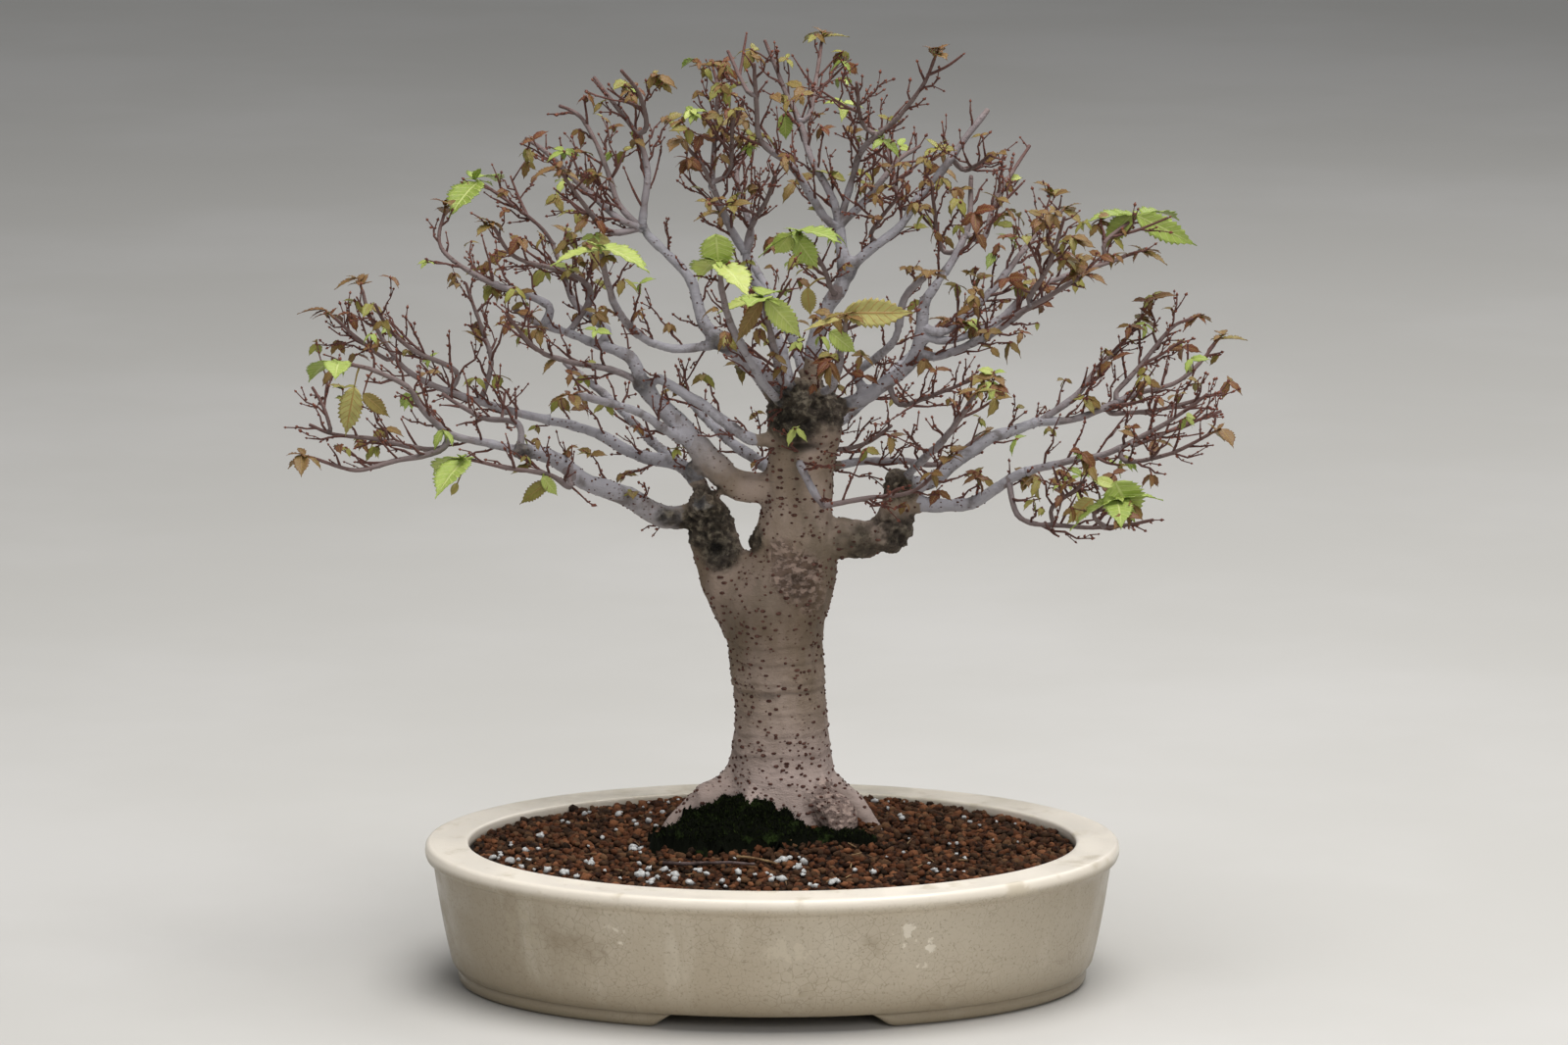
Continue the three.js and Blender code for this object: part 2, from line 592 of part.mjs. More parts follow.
function makeTree(wood) {
  const shapes = wood.map(({ points, radii, sides, sunk }) => tube(points, radii, sides, sunk));
  for (const [x, z, depth, radius] of knobs) {
    const place = seen(x, z, depth);
    const detail = radius > 11 ? 1 : 0;
    const knob = new THREE.IcosahedronGeometry(radius, detail).translate(place.x, place.y, place.z);
    shapes.push(solid(knob));
  }
  return largestBody(wasm.Manifold.union([makeRootBase(0), ...shapes]).simplify(smoothing));
}

// Half outlines of a toothed leaf, as shares of its length along and across. The third point of
// each is a notch between teeth that sees all the others, so the half blade is a fan from it.
const notchPoint = 3;
const smallOutline = [[0.22, 0.23], [0.54, 0.26], [0.62, 0.16]];
const largeOutline = [[0.16, 0.2], [0.36, 0.28], [0.42, 0.22], [0.64, 0.25], [0.7, 0.15]];

// A thin folded and arched blade with a toothed edge
function leaf(base, heading, up, length, outline) {
  const side = heading.clone().cross(up).normalize();
  const face = side.clone().cross(heading).normalize();
  const place = (along, across) => base.clone()
    .addScaledVector(heading, along * length)
    .addScaledVector(side, across * length)
    .addScaledVector(face, (Math.abs(across) * bladeFold - along * along * bladeArch) * length);
  const right = outline.map(([along, across]) => place(along, across));
  const left = outline.map(([along, across]) => place(along, -across)).reverse();
  const rim = [place(0, 0), ...right, place(1, 0), ...left];
  const half = face.clone().multiplyScalar(bladeThickness / 2);
  const top = rim.map((point) => point.clone().add(half));
  const bottom = rim.map((point) => point.clone().sub(half));
  const count = rim.length;
  const tip = outline.length + 1;
  const faces = [];
  for (let i = 0; i < count; i += 1) {
    const next = (i + 1) % count;
    faces.push(i, count + i, count + next);
    faces.push(i, count + next, next);
  }
  for (const [hub, from, to] of [[notchPoint, 0, tip], [count - notchPoint, tip, count]]) {
    for (let i = from; i <= to; i += 1) {
      const a = i % count;
      const b = i === to ? from : (i + 1) % count;
      if (a !== hub && b !== hub) faces.push(hub, a, b, count + hub, count + b, count + a);
    }
  }
  const geometry = new THREE.BufferGeometry().setFromPoints([...top, ...bottom]);
  geometry.setIndex(faces);
  return solid(geometry);
}

const leafKinds = {
  bronze: { outline: smallOutline, count: 2, shortest: 13, longest: 18, stem: 7 },
  green: { outline: largeOutline, count: 2, shortest: 26, longest: 38, stem: 6 },
};

// A short new shoot that goes on from a twig's tip, with its leaves to both sides
function makeShoot(bough, seed) {
  const random = randomFrom(seed);
  const kind = leafKinds[bough.leaf];
  const last = bough.points.length - 1;
  const along = bough.points[last].clone().sub(bough.points[last - 1]).normalize();
  const tipReach = bough.radii[last] * 0.5 + twigGap;
  const start = bough.points[last].clone().addScaledVector(along, tipReach);
  const end = start.clone().addScaledVector(along, kind.stem);
  const shapes = [tube([start, end], [shootStem, shootStem * 0.8], 3)];
  const turnFrom = random() * 2 * Math.PI;
  const count = kind.count + (random() < threeLeafShare ? 1 : 0);
  for (let i = 0; i < count; i += 1) {
    const turn = turnFrom + (i * 2 * Math.PI) / count + (random() - 0.5) * 0.8;
    const base = start.clone().lerp(end, mix(0.35, 0.95, i / (count - 1)));
    const heading = at(Math.cos(turn), Math.sin(turn), -0.75 + random() * 0.7)
      .addScaledVector(along, 0.5).normalize();
    const length = mix(kind.shortest, kind.longest, random());
    shapes.push(leaf(base, heading, at(0, 0, 1), length, kind.outline));
  }
  return wasm.Manifold.union(shapes).simplify(smoothing);
}

function boxesMeet(a, b) {
  return [0, 1, 2].every((i) => a.min[i] - 1 < b.max[i] && b.min[i] - 1 < a.max[i]);
}

// The first draw that stays clear of the wood and of the shoots before it
function placeShoot(bough, index, tree, placed) {
  for (let draw = 0; draw < mostTries; draw += 1) {
    const shoot = makeShoot(bough, 1000 * (index + 1) + draw);
    const box = shoot.boundingBox();
    const near = placed.filter((other) => boxesMeet(box, other.boundingBox()));
    const clear = [tree, ...near].every((other) => shoot.minGap(other, 1) > leastGap);
    if (clear && shoot.decompose().length === 1) return shoot;
  }
  return null;
}

const { wood, tips } = growTree();
const tree = makeTree(wood);
const soil = makeSoil();

const bonsai = new THREE.Group();
bonsai.add(meshOf("pot", makePot(), colours.glaze));
bonsai.add(meshOf("drain_screen_left", makeScreen(-1), colours.screen));
bonsai.add(meshOf("drain_screen_right", makeScreen(1), colours.screen));
bonsai.add(meshOf("soil", soil, colours.soil));
bonsai.add(meshOf("moss", makeMoss(soil), colours.moss));
bonsai.add(meshOf("stalk", makeStalk(soil), colours.straw));
bonsai.add(meshOf("tree", tree, colours.bark));

const placedShoots = [];
tips.forEach((bough, index) => {
  const shoot = placeShoot(bough, index, tree, placedShoots);
  if (!shoot) return;
  placedShoots.push(shoot);
  const name = `shoot_${bough.name.replaceAll(" ", "_")}`;
  bonsai.add(meshOf(name, shoot, colours[bough.leaf]));
});

export default bonsai;
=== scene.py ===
# A Japanese zelkova bonsai in its oval glazed pot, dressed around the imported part
# Lengths are in millimetres and turn into metres where a mesh is made. +Z is up, +Y goes to the back.
import math

import bpy
import numpy as np
from mathutils import Euler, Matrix, Vector, kdtree, noise


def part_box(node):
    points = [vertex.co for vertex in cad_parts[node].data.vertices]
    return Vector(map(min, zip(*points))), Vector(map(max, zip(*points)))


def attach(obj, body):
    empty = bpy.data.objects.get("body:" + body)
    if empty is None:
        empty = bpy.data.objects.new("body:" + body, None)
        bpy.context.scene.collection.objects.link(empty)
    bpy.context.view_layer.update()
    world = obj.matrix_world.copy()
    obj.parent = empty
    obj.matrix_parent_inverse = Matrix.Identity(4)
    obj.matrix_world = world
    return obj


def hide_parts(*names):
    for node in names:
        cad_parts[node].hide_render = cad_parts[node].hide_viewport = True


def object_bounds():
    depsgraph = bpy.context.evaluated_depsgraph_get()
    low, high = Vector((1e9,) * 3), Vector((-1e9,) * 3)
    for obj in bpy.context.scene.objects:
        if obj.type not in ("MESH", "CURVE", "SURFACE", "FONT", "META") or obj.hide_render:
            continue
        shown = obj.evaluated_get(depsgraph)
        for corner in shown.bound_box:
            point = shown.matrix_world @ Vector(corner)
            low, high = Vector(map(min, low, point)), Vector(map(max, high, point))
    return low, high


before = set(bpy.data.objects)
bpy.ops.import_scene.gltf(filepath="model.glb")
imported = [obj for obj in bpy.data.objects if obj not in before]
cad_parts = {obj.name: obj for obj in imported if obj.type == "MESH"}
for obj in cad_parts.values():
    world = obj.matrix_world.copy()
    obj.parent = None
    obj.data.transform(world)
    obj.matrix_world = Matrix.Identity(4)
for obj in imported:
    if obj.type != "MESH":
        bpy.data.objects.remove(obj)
cad_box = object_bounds()

# The noise that bends the wood is the same in every run
NOISE_SEED = 1
noise.seed_set(NOISE_SEED)

MM = 0.001

# Pot
POT_HALF_LENGTH = 200
POT_HALF_DEPTH = 145
POT_HEIGHT = 83
FOOT_HALF_LENGTH = 179
FOOT_HALF_DEPTH = 115
FOOT_WIDTH = 14
FOOT_HEIGHT = 12
LIP_HEIGHT = 9
RIM_WIDTH = 25
WALL_THICKNESS = 9
WALL_BOW = 0.6
FLOOR_ROUND = 8
LIP_OVERHANG = 3
FLOOR_TOP = 19
CUT_TOP_WIDTH = 107
CUT_BOTTOM_WIDTH = 135
CUT_HEIGHT = 10.5
DRAIN_RADIUS = 13
DRAIN_OFFSET = 78
POT_SIDES = 300

# Soil
WALL_GAP = 0.5
SOIL_EDGE = 79
MOUND_HEIGHT = 20
MOUND_SPREAD = 75
TRUNK_SIDE = 5
GRANULE_PITCH = 4.5
SOIL_SIDES = 96

# Tree
TREE_DEPTH = 20
DEPTH_SPREAD = 1.4
TWIG_SPACING = 72
TWIG_START = 0.3
TWIG_SHORTEST = 15
TWIG_LONGEST = 35
TWIG_LIFT = 0.3
TURN_EACH = 2.4
BARK_VOXEL = 1.5
THIN_WOOD = 2.0

# Leaves
BLADE_FOLD = 0.22
BLADE_ARCH = 0.16
TWIG_GAP = 0.35
THREE_LEAF_SHARE = 0.1
MOST_TRIES = 60
BLADE_THICKNESS = 0.3

# The front view that the bough lists are written for
VIEW_DISTANCE = 4395
VIEW_HEIGHT = 1154
VIEW_SIDE = 7
CAMERA_LENS = 180
CAMERA_PITCH = 11.38
CAMERA_SIDE = 6.8
SENSOR_WIDTH = 36

# Each scattered piece draws its own repeatable random numbers
SEEDS = {"soil": 5, "grit": 8, "moss": 13, "scraps": 21, "lenticels": 3, "twigs": 77, "shoots": 31,
         "seen leaves": 64, "tufts": 52}

# Surface roots as [x, y, z, radius], the flared foot as [z, radius]
FOOT_LEVELS = [[60, 26], [92, 37], [108, 33.5], [128, 28.5]]
ROOTS = [
    [[-14, 16, 114, 12.5], [-43, 12, 100, 9.5], [-66, 8, 79, 3]],
    [[22, 18, 118, 11], [44, 16, 102, 7.5], [66, 8, 80, 3]],
    [[20, 3, 113, 12], [37, -11, 99, 10.5], [43, -27, 78, 5]],
    [[-6, 2, 114, 10], [-15, -14, 99, 6.5], [-24, -34, 78, 2.5]],
    [[-8, 34, 112, 9], [-34, 64, 80, 3]],
    [[22, 34, 112, 9], [46, 62, 80, 3]],
]

# Thick wood as points [x, z, radius] on the front plane
STEMS = {
    "trunk": [
        [5, 116, 30], [5, 149, 27.5], [4, 173, 26], [2, 200, 27], [1, 222, 31], [9, 238, 28.5],
        [13, 250, 24.5], [13, 266, 22.5], [15, 284, 20], [16, 302, 19.5], [18, 320, 21.5], [18, 336, 21],
        [19, 347, 12],
    ],
    "left trunk": [
        [-8, 214, 23], [-22, 232, 17.5], [-28, 246, 14.5], [-32, 258, 14], [-35, 270, 12], [-38, 282, 9],
    ],
    "right stub": [
        [12, 246, 17], [33, 260, 12], [56, 260, 10.5], [68, 267, 11], [71, 280, 9.5], [72, 291, 6.5],
    ],
}

# Name, what it grows on, thickness radius at both ends, depth at both ends, [x, z] points, leaf kind
BOUGHS = [
    ["low left", "left trunk", 7.5, 4.2, 0, -30,
        [[-60, 272], [-85, 286], [-106, 293], [-127, 308], [-144, 311]]],
    ["low left end", "low left", 2.6, 1.1, -30, -52,
        [[-160, 315], [-184, 321], [-200, 336], [-208, 348], [-227, 358], [-244, 362]], "green"],
    ["low left floor", "low left end", 2, 0.9, -36, -60,
        [[-190, 311], [-216, 305], [-238, 300], [-262, 307]], "bronze"],
    ["far left", "low left end", 1.8, 0.9, -32, -30,
        [[-192, 312], [-227, 318], [-250, 321], [-264, 326]]],
    ["far left riser", "far left", 1.2, 0.9, -31, -20, [[-252, 324], [-256, 337], [-262, 348]]],
    ["low left riser", "low left", 2.2, 1, -24, 12, [[-145, 327], [-166, 331], [-188, 344]]],
    ["low left under", "low left", 2, 0.9, -30, -50,
        [[-116, 290], [-127, 297], [-150, 301], [-172, 306]], "green"],
    ["level left", "left trunk", 4.6, 3, 6, 44, [[-49, 301], [-77, 309], [-102, 322], [-127, 329]]],
    ["level left end", "level left", 2.6, 1, 44, 60,
        [[-144, 333], [-177, 343], [-199, 352], [-214, 364], [-228, 388], [-233, 404]], "bronze"],
    ["level left tip", "level left end", 1.4, 0.9, 56, 66,
        [[-219, 364], [-236, 376], [-249, 388]], "bronze"],
    ["level left fork", "level left end", 1.8, 0.9, 48, 30,
        [[-180, 357], [-205, 370], [-218, 382], [-226, 396]]],
    ["level left riser", "level left end", 1.8, 0.9, 46, 80, [[-160, 362], [-166, 384], [-174, 408]]],
    ["middle left", "trunk", 10.5, 4.6, 0, -8,
        [[-21, 292], [-33, 303], [-48, 320], [-66, 340], [-74, 350]]],
    ["middle left end", "middle left", 4.2, 1.6, -8, 20,
        [[-82, 366], [-105, 375], [-118, 380], [-135, 386], [-147, 394]]],
    ["middle left riser", "middle left end", 2.8, 1.2, 0, 50,
        [[-94, 380], [-102, 388], [-113, 398], [-120, 418], [-124, 430]]],
    ["left pair twig", "middle left riser", 1.2, 0.9, 50, 56,
        [[-132, 441], [-148, 454], [-164, 465]], "green"],
    ["middle left tip", "middle left end", 2.6, 0.9, 10, 40,
        [[-127, 395], [-144, 403], [-166, 411], [-188, 429], [-186, 448]], "bronze"],
    ["middle left cross", "middle left end", 2, 1, 12, -30,
        [[-103, 402], [-116, 414], [-145, 423], [-158, 440]], "bronze"],
    ["middle left low", "middle left", 2.2, 0.9, -10, -50,
        [[-91, 358], [-119, 364], [-135, 371], [-151, 390]]],
    ["inner left", "middle left", 3.4, 2, -8, -55,
        [[-52, 318], [-74, 332], [-96, 340], [-112, 343]], "bronze"],
    ["left bridge", "trunk", 4.4, 3, -10, -8, [[-10, 318], [-27, 328], [-40, 338], [-66, 354]]],
    ["upper left", "trunk", 7.5, 5.2, -2, -14, [[4, 345], [-8, 358], [-20, 368], [-26, 374]]],
    ["upper left level", "upper left", 3.2, 1.6, -12, -60,
        [[-53, 370], [-74, 377], [-87, 391], [-93, 406], [-97, 425]], "green"],
    ["upper left riser", "upper left", 4.2, 2.6, -12, 0,
        [[-38, 384], [-46, 410], [-60, 425], [-74, 440]]],
    ["upper left top", "upper left riser", 2.4, 1, 0, 12,
        [[-72, 457], [-71, 474], [-76, 492], [-87, 508], [-101, 526]]],
    ["upper left top fork", "upper left top", 1.6, 0.9, 4, -18, [[-71, 498], [-75, 516], [-85, 530]]],
    ["upper left side", "upper left riser", 2, 1, 0, 40,
        [[-86, 452], [-94, 475], [-107, 502], [-120, 510]]],
    ["upper left fan", "upper left riser", 2.2, 1, -2, 56,
        [[-88, 446], [-111, 467], [-129, 484], [-139, 491]]],
    ["upper left low", "upper left riser", 2, 1, -8, -44,
        [[-92, 438], [-108, 455], [-119, 471]], "bronze"],
    ["second stem", "trunk", 4.2, 2.6, -10, 8,
        [[10, 352], [5, 372], [-3, 388], [-5, 402], [-13, 413], [-15, 426]]],
    ["second stem left", "second stem", 2.6, 1, 8, -10,
        [[-21, 435], [-29, 452], [-38, 473], [-48, 486]], "bronze"],
    ["second stem tall", "second stem left", 1.8, 0.9, 2, 24,
        [[-34, 466], [-32, 500], [-31, 521], [-33, 530]], "bronze"],
    ["second stem fork", "second stem left", 1.6, 0.9, 2, -24, [[-24, 473], [-22, 499], [-16, 513]]],
    ["second stem right", "second stem", 2, 1, 6, -30, [[-12, 440], [-3, 456], [2, 470]]],
    ["second stem back", "second stem", 2.2, 1, 10, 70, [[-12, 438], [-20, 468], [-14, 490]], "bronze"],
    ["front centre", "trunk", 3, 1.2, -20, -75, [[6, 352], [0, 376], [-5, 398]], "green"],
    ["leader", "trunk", 5.6, 4.8, 0, 4, [[22, 345], [24, 372], [30, 391], [38, 404], [42, 414]]],
    ["leader top", "leader", 4.4, 3, 4, 8, [[40, 426], [38, 441]]],
    ["leader left", "leader top", 2.8, 1, 6, -18,
        [[30, 446], [13, 473], [-6, 490], [-9, 514], [-10, 534]]],
    ["leader left twig", "leader left", 1.4, 0.9, -10, 6, [[-14, 518], [-21, 532], [-25, 541]]],
    ["leader front", "leader", 1.8, 0.9, -6, -55, [[34, 404], [28, 420], [16, 436]], "green"],
    ["leader centre", "leader top", 2.6, 1, 8, 36,
        [[34, 457], [22, 480], [17, 498], [8, 517], [-4, 547]]],
    ["leader centre right", "leader centre", 1.8, 0.9, 24, 50,
        [[21, 504], [25, 525], [28, 546]], "bronze"],
    ["leader right", "leader top", 2.6, 1, 8, 26, [[54, 457], [70, 477], [84, 487]]],
    ["leader right tall", "leader top", 2.4, 0.9, 8, -26,
        [[46, 470], [52, 486], [72, 504], [85, 521], [92, 537]], "bronze"],
    ["leader right thin", "leader right tall", 1.4, 0.9, -6, -34, [[51, 500], [48, 523]]],
    ["right fork", "leader", 3.6, 1.6, 4, 26,
        [[54, 426], [72, 440], [82, 456], [97, 474], [116, 500], [122, 507]]],
    ["right fork low", "right fork", 1.6, 0.9, 22, 2, [[110, 473], [124, 482]]],
    ["right fork back", "right fork", 1.6, 0.9, 16, 62, [[72, 454], [68, 477], [61, 497]]],
    ["right fork spur", "right fork", 1.4, 0.9, 10, -42, [[56, 436], [65, 450], [72, 458]]],
    ["upper right", "trunk", 5.2, 3.6, 0, -10, [[30, 336], [48, 340], [66, 351], [82, 367], [87, 398]]],
    ["upper right riser", "upper right", 3, 1.2, -10, 14,
        [[94, 408], [107, 429], [112, 446], [113, 470]]],
    ["upper right riser fork", "upper right riser", 1.5, 0.9, 4, -22, [[96, 428], [92, 450], [91, 464]]],
    ["upper right tall", "upper right riser", 2, 0.9, 0, 46,
        [[120, 434], [126, 455], [135, 470], [146, 487]]],
    ["upper right grey", "upper right", 2.8, 1.2, -10, 60,
        [[99, 381], [124, 403], [140, 423], [152, 439], [164, 449]], "bronze"],
    ["upper right brown", "upper right", 3, 1, -10, 30,
        [[101, 375], [129, 387], [149, 405], [185, 418], [205, 425]], "bronze"],
    ["upper right leafy", "upper right brown", 1.4, 0.9, 22, 34, [[189, 432], [206, 445]], "green"],
    ["upper right low", "upper right", 2.8, 1.2, -8, -60,
        [[96, 366], [123, 378], [143, 392], [163, 404], [176, 412]], "bronze"],
    ["upper right low fork", "upper right low", 1.8, 0.9, -36, -80, [[146, 399], [158, 420], [166, 446]]],
    ["upper right stub", "upper right", 3.2, 2, 0, -34,
        [[48, 356], [60, 366], [70, 376], [75, 399], [86, 411]], "bronze"],
    ["upper right front", "upper right", 1.8, 0.9, -10, -58,
        [[73, 338], [90, 343], [116, 353]], "bronze"],
    ["front right", "trunk", 3, 1.2, -18, -90, [[34, 348], [40, 372], [42, 388]], "bronze"],
    ["trunk right thin", "trunk", 1.8, 1, 0, -16, [[38, 312], [54, 316], [68, 326]]],
    ["trunk right", "trunk", 3, 1.2, 8, 34,
        [[34, 302], [51, 305], [74, 305], [96, 304], [118, 319]], "bronze"],
    ["front stub", "trunk", 3.4, 2, -20, -36, [[16, 304], [22, 291], [29, 279]]],
    ["front red", "front stub", 1.6, 0.9, -34, -58, [[51, 283], [81, 288], [99, 306]], "bronze"],
    ["low right", "right stub", 5, 3, 0, -14, [[90, 280], [112, 280], [130, 291], [145, 299]]],
    ["low right end", "low right", 2.4, 0.9, -16, -28,
        [[168, 305], [190, 309], [212, 320], [232, 332], [248, 344]]],
    ["low right tip", "low right end", 1.5, 0.9, -24, -44,
        [[202, 305], [226, 309], [250, 321]], "bronze"],
    ["low right fork", "low right end", 1.4, 0.9, -22, -4, [[206, 314], [230, 324], [256, 334]]],
    ["low right under", "low right", 1.8, 0.9, -20, -54,
        [[142, 272], [170, 267], [196, 267], [218, 271]]],
    ["low right leafy", "low right under", 1.4, 0.9, -46, -62, [[184, 274], [196, 282]], "green"],
    ["low right hook", "low right under", 1.4, 0.9, -30, -72, [[160, 278], [174, 289], [179, 294]]],
    ["middle right", "right stub", 5, 3, 0, 22,
        [[90, 293], [107, 306], [124, 318], [134, 322], [152, 328]]],
    ["middle right end", "middle right", 2.4, 0.9, 22, 36,
        [[174, 330], [207, 344], [229, 350], [243, 362], [252, 373]], "bronze"],
    ["middle right level", "middle right end", 1.6, 0.9, 26, 2, [[193, 333], [221, 335], [256, 345]]],
    ["middle right riser", "middle right", 2.2, 1, 24, 48,
        [[174, 344], [184, 358], [199, 373], [208, 385]], "bronze"],
    ["middle right high", "middle right end", 1.6, 0.9, 26, 60,
        [[196, 345], [211, 362], [227, 382], [239, 388]], "bronze"],
    ["back low", "trunk", 5, 2.4, 8, 88, [[18, 290], [-6, 304], [-30, 322], [-52, 346]], "bronze"],
    ["back right", "trunk", 4.6, 2.2, 8, 88, [[30, 322], [52, 340], [74, 362], [96, 384]], "bronze"],
    ["back high", "trunk", 4, 1.8, 8, 86, [[20, 352], [8, 384], [-8, 414], [-26, 444]], "bronze"],
    ["back left", "left trunk", 4, 1.8, 8, 88,
        [[-46, 296], [-70, 318], [-96, 344], [-118, 362]], "bronze"],
    ["front left", "trunk", 3.4, 1.4, -14, -112, [[4, 340], [-14, 366], [-26, 392], [-30, 418]], "green"],
    ["front low right", "right stub", 3, 1.2, -8, -104, [[80, 300], [98, 318], [116, 344]], "bronze"],
]

# Knobs of old pruning: [x, z, depth, radius]
KNOBS = [
    [-39, 280, -4, 10], [-44, 300, 0, 6.5], [-74, 350, -8, 6], [-144, 311, -30, 5.5],
    [-28, 374, -14, 6.5], [11, 340, -5, 11], [28, 336, 0, 12], [72, 292, 0, 8.5], [69, 265, 0, 12.5],
    [43, 415, 4, 5.8], [-74, 441, 0, 4.2], [-8, 259, -4, 6.5],
]

MASK = 0xFFFFFFFF


def random_from(seed):
    """Repeatable random numbers from 0 to 1, drawn as the part draws its own."""
    state = seed & MASK

    def draw():
        nonlocal state
        state = (state + 0x6D2B79F5) & MASK
        t = state
        t = ((t ^ (t >> 15)) * (t | 1)) & MASK
        t ^= (t + (((t ^ (t >> 7)) * (t | 61)) & MASK)) & MASK
        return ((t ^ (t >> 14)) & MASK) / 4294967296

    return draw


def at(*values):
    return np.array(values, float)


def mix(a, b, share):
    return a + (b - a) * share


def unit(vector):
    return vector / max(np.linalg.norm(vector), 1e-9)


def smooth_step(low, high, value):
    share = np.clip((value - low) / (high - low), 0, 1)
    return share * share * (3 - 2 * share)


def seen(x, z, depth):
    """A place on the front plane, pushed along the line of sight to its own depth."""
    y = TREE_DEPTH + depth * DEPTH_SPREAD
    scale = 1 + y / VIEW_DISTANCE
    return at(VIEW_SIDE + (x - VIEW_SIDE) * scale, y, VIEW_HEIGHT + (z - VIEW_HEIGHT) * scale)


def soil_height(x, y):
    far = np.hypot(x - TRUNK_SIDE, y - TREE_DEPTH) / MOUND_SPREAD
    return SOIL_EDGE + MOUND_HEIGHT * np.exp(-far * far)


class Build:
    """Points, faces and marks of one piece."""

    def __init__(self, *marks):
        self.points = []
        self.faces = {3: [], 4: []}
        self.marks = {name: [] for name in marks}
        self.count = 0

    def add(self, points, *faces, **marks):
        points = np.asarray(points, float).reshape(-1, 3)
        for face in faces:
            face = np.asarray(face, int)
            self.faces[face.shape[1]].append(face + self.count)
        for name, values in self.marks.items():
            values.append(np.broadcast_to(np.asarray(marks.get(name, 0.0), float), len(points)))
        self.points.append(points)
        self.count += len(points)

    def mesh(self, name):
        points = np.concatenate(self.points) * MM
        groups = [np.concatenate(group) for group in self.faces.values() if group]
        corners = np.concatenate([group.ravel() for group in groups])
        sizes = np.concatenate([np.full(len(group), group.shape[1]) for group in groups])
        mesh = bpy.data.meshes.new(name)
        mesh.vertices.add(len(points))
        mesh.vertices.foreach_set("co", points.ravel().astype(np.float32))
        mesh.loops.add(len(corners))
        mesh.loops.foreach_set("vertex_index", corners.astype(np.int32))
        mesh.polygons.add(len(sizes))
        starts = np.concatenate([[0], np.cumsum(sizes)[:-1]])
        mesh.polygons.foreach_set("loop_start", starts.astype(np.int32))
        mesh.update(calc_edges=True)
        mesh.validate()
        for mark, values in self.marks.items():
            layer = mesh.attributes.new(mark, "FLOAT", "POINT")
            layer.data.foreach_set("value", np.concatenate(values).astype(np.float32))
        return mesh


def place(name, mesh, material, slot, *replaced):
    """A finished piece in the scene, riding on the root body, with the nodes that it stands for."""
    piece = bpy.data.objects.new(name, mesh)
    bpy.context.scene.collection.objects.link(piece)
    mesh.polygons.foreach_set("use_smooth", np.full(len(mesh.polygons), True))
    mesh.materials.clear()
    mesh.materials.append(material)
    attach(piece, "root")
    if replaced:
        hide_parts(*replaced)
    return piece


def loft(build, rings, start=None, end=None, **marks):
    """A skin over rings of points, as quads, with a fan over each end."""
    rings = np.asarray(rings, float)
    levels, sides = rings.shape[:2]
    points = rings.reshape(-1, 3)
    i = np.arange(sides)
    j = (i + 1) % sides
    faces = [np.stack([k * sides + i, k * sides + j, (k + 1) * sides + j, (k + 1) * sides + i], 1)
             for k in range(levels - 1)]
    fans = []
    count = len(points)
    if start is not None:
        points = np.vstack([points, start])
        fans.append(np.stack([np.full(sides, count), j, i], 1))
        count += 1
    if end is not None:
        last = (levels - 1) * sides
        points = np.vstack([points, end])
        fans.append(np.stack([np.full(sides, count), last + i, last + j], 1))
    build.add(points, *faces, *fans, **marks)


def spline(points, values, step):
    """Smooth run through points, with values carried along, in steps of about one length."""
    points = np.asarray(points, float)
    values = np.asarray(values, float)
    run, carried = [], []
    for i in range(len(points) - 1):
        a = points[max(i - 1, 0)]
        b, c = points[i], points[i + 1]
        d = points[min(i + 2, len(points) - 1)]
        pieces = max(1, int(round(np.linalg.norm(c - b) / step)))
        for k in range(pieces):
            t = k / pieces
            run.append(0.5 * (2 * b + (c - a) * t + (2 * a - 5 * b + 4 * c - d) * t * t
                              + (3 * b - a - 3 * c + d) * t ** 3))
            carried.append(mix(values[i], values[i + 1], t))
    run.append(points[-1])
    carried.append(values[-1])
    return np.array(run), np.array(carried)


def tube(build, points, radii, sides, **marks):
    points = np.asarray(points, float)
    ends = np.vstack([points[0], points, points[-1]])
    along = ends[2:] - ends[:-2]
    along /= np.linalg.norm(along, axis=1)[:, None] + 1e-9
    upright = abs(along[0][2]) > 0.9
    across = at(1, 0, 0) if upright else at(0, 0, 1)
    turn = 2 * math.pi * np.arange(sides) / sides
    rings = []
    for point, direction, radius in zip(points, along, radii):
        across = unit(across - direction * across.dot(direction))
        other = np.cross(direction, across)
        rings.append(point + radius * (np.outer(np.cos(turn), across) + np.outer(np.sin(turn), other)))
    ends_out = {
        "start": points[0] - along[0] * radii[0] * 0.4,
        "end": points[-1] + along[-1] * radii[-1] * 0.6,
    }
    if "thick" in build.marks:
        marks["thick"] = np.concatenate([np.repeat(radii, sides), [radii[0], radii[-1]]])
    loft(build, rings, **ends_out, **marks)


# Node shaders: short calls to place and join nodes

def colour(code):
    """Linear colour from a screen colour such as 8A7A72."""
    parts = [int(code[i:i + 2], 16) / 255 for i in (0, 2, 4)]
    linear = [p / 12.92 if p <= 0.04045 else ((p + 0.055) / 1.055) ** 2.4 for p in parts]
    return (*linear, 1.0)


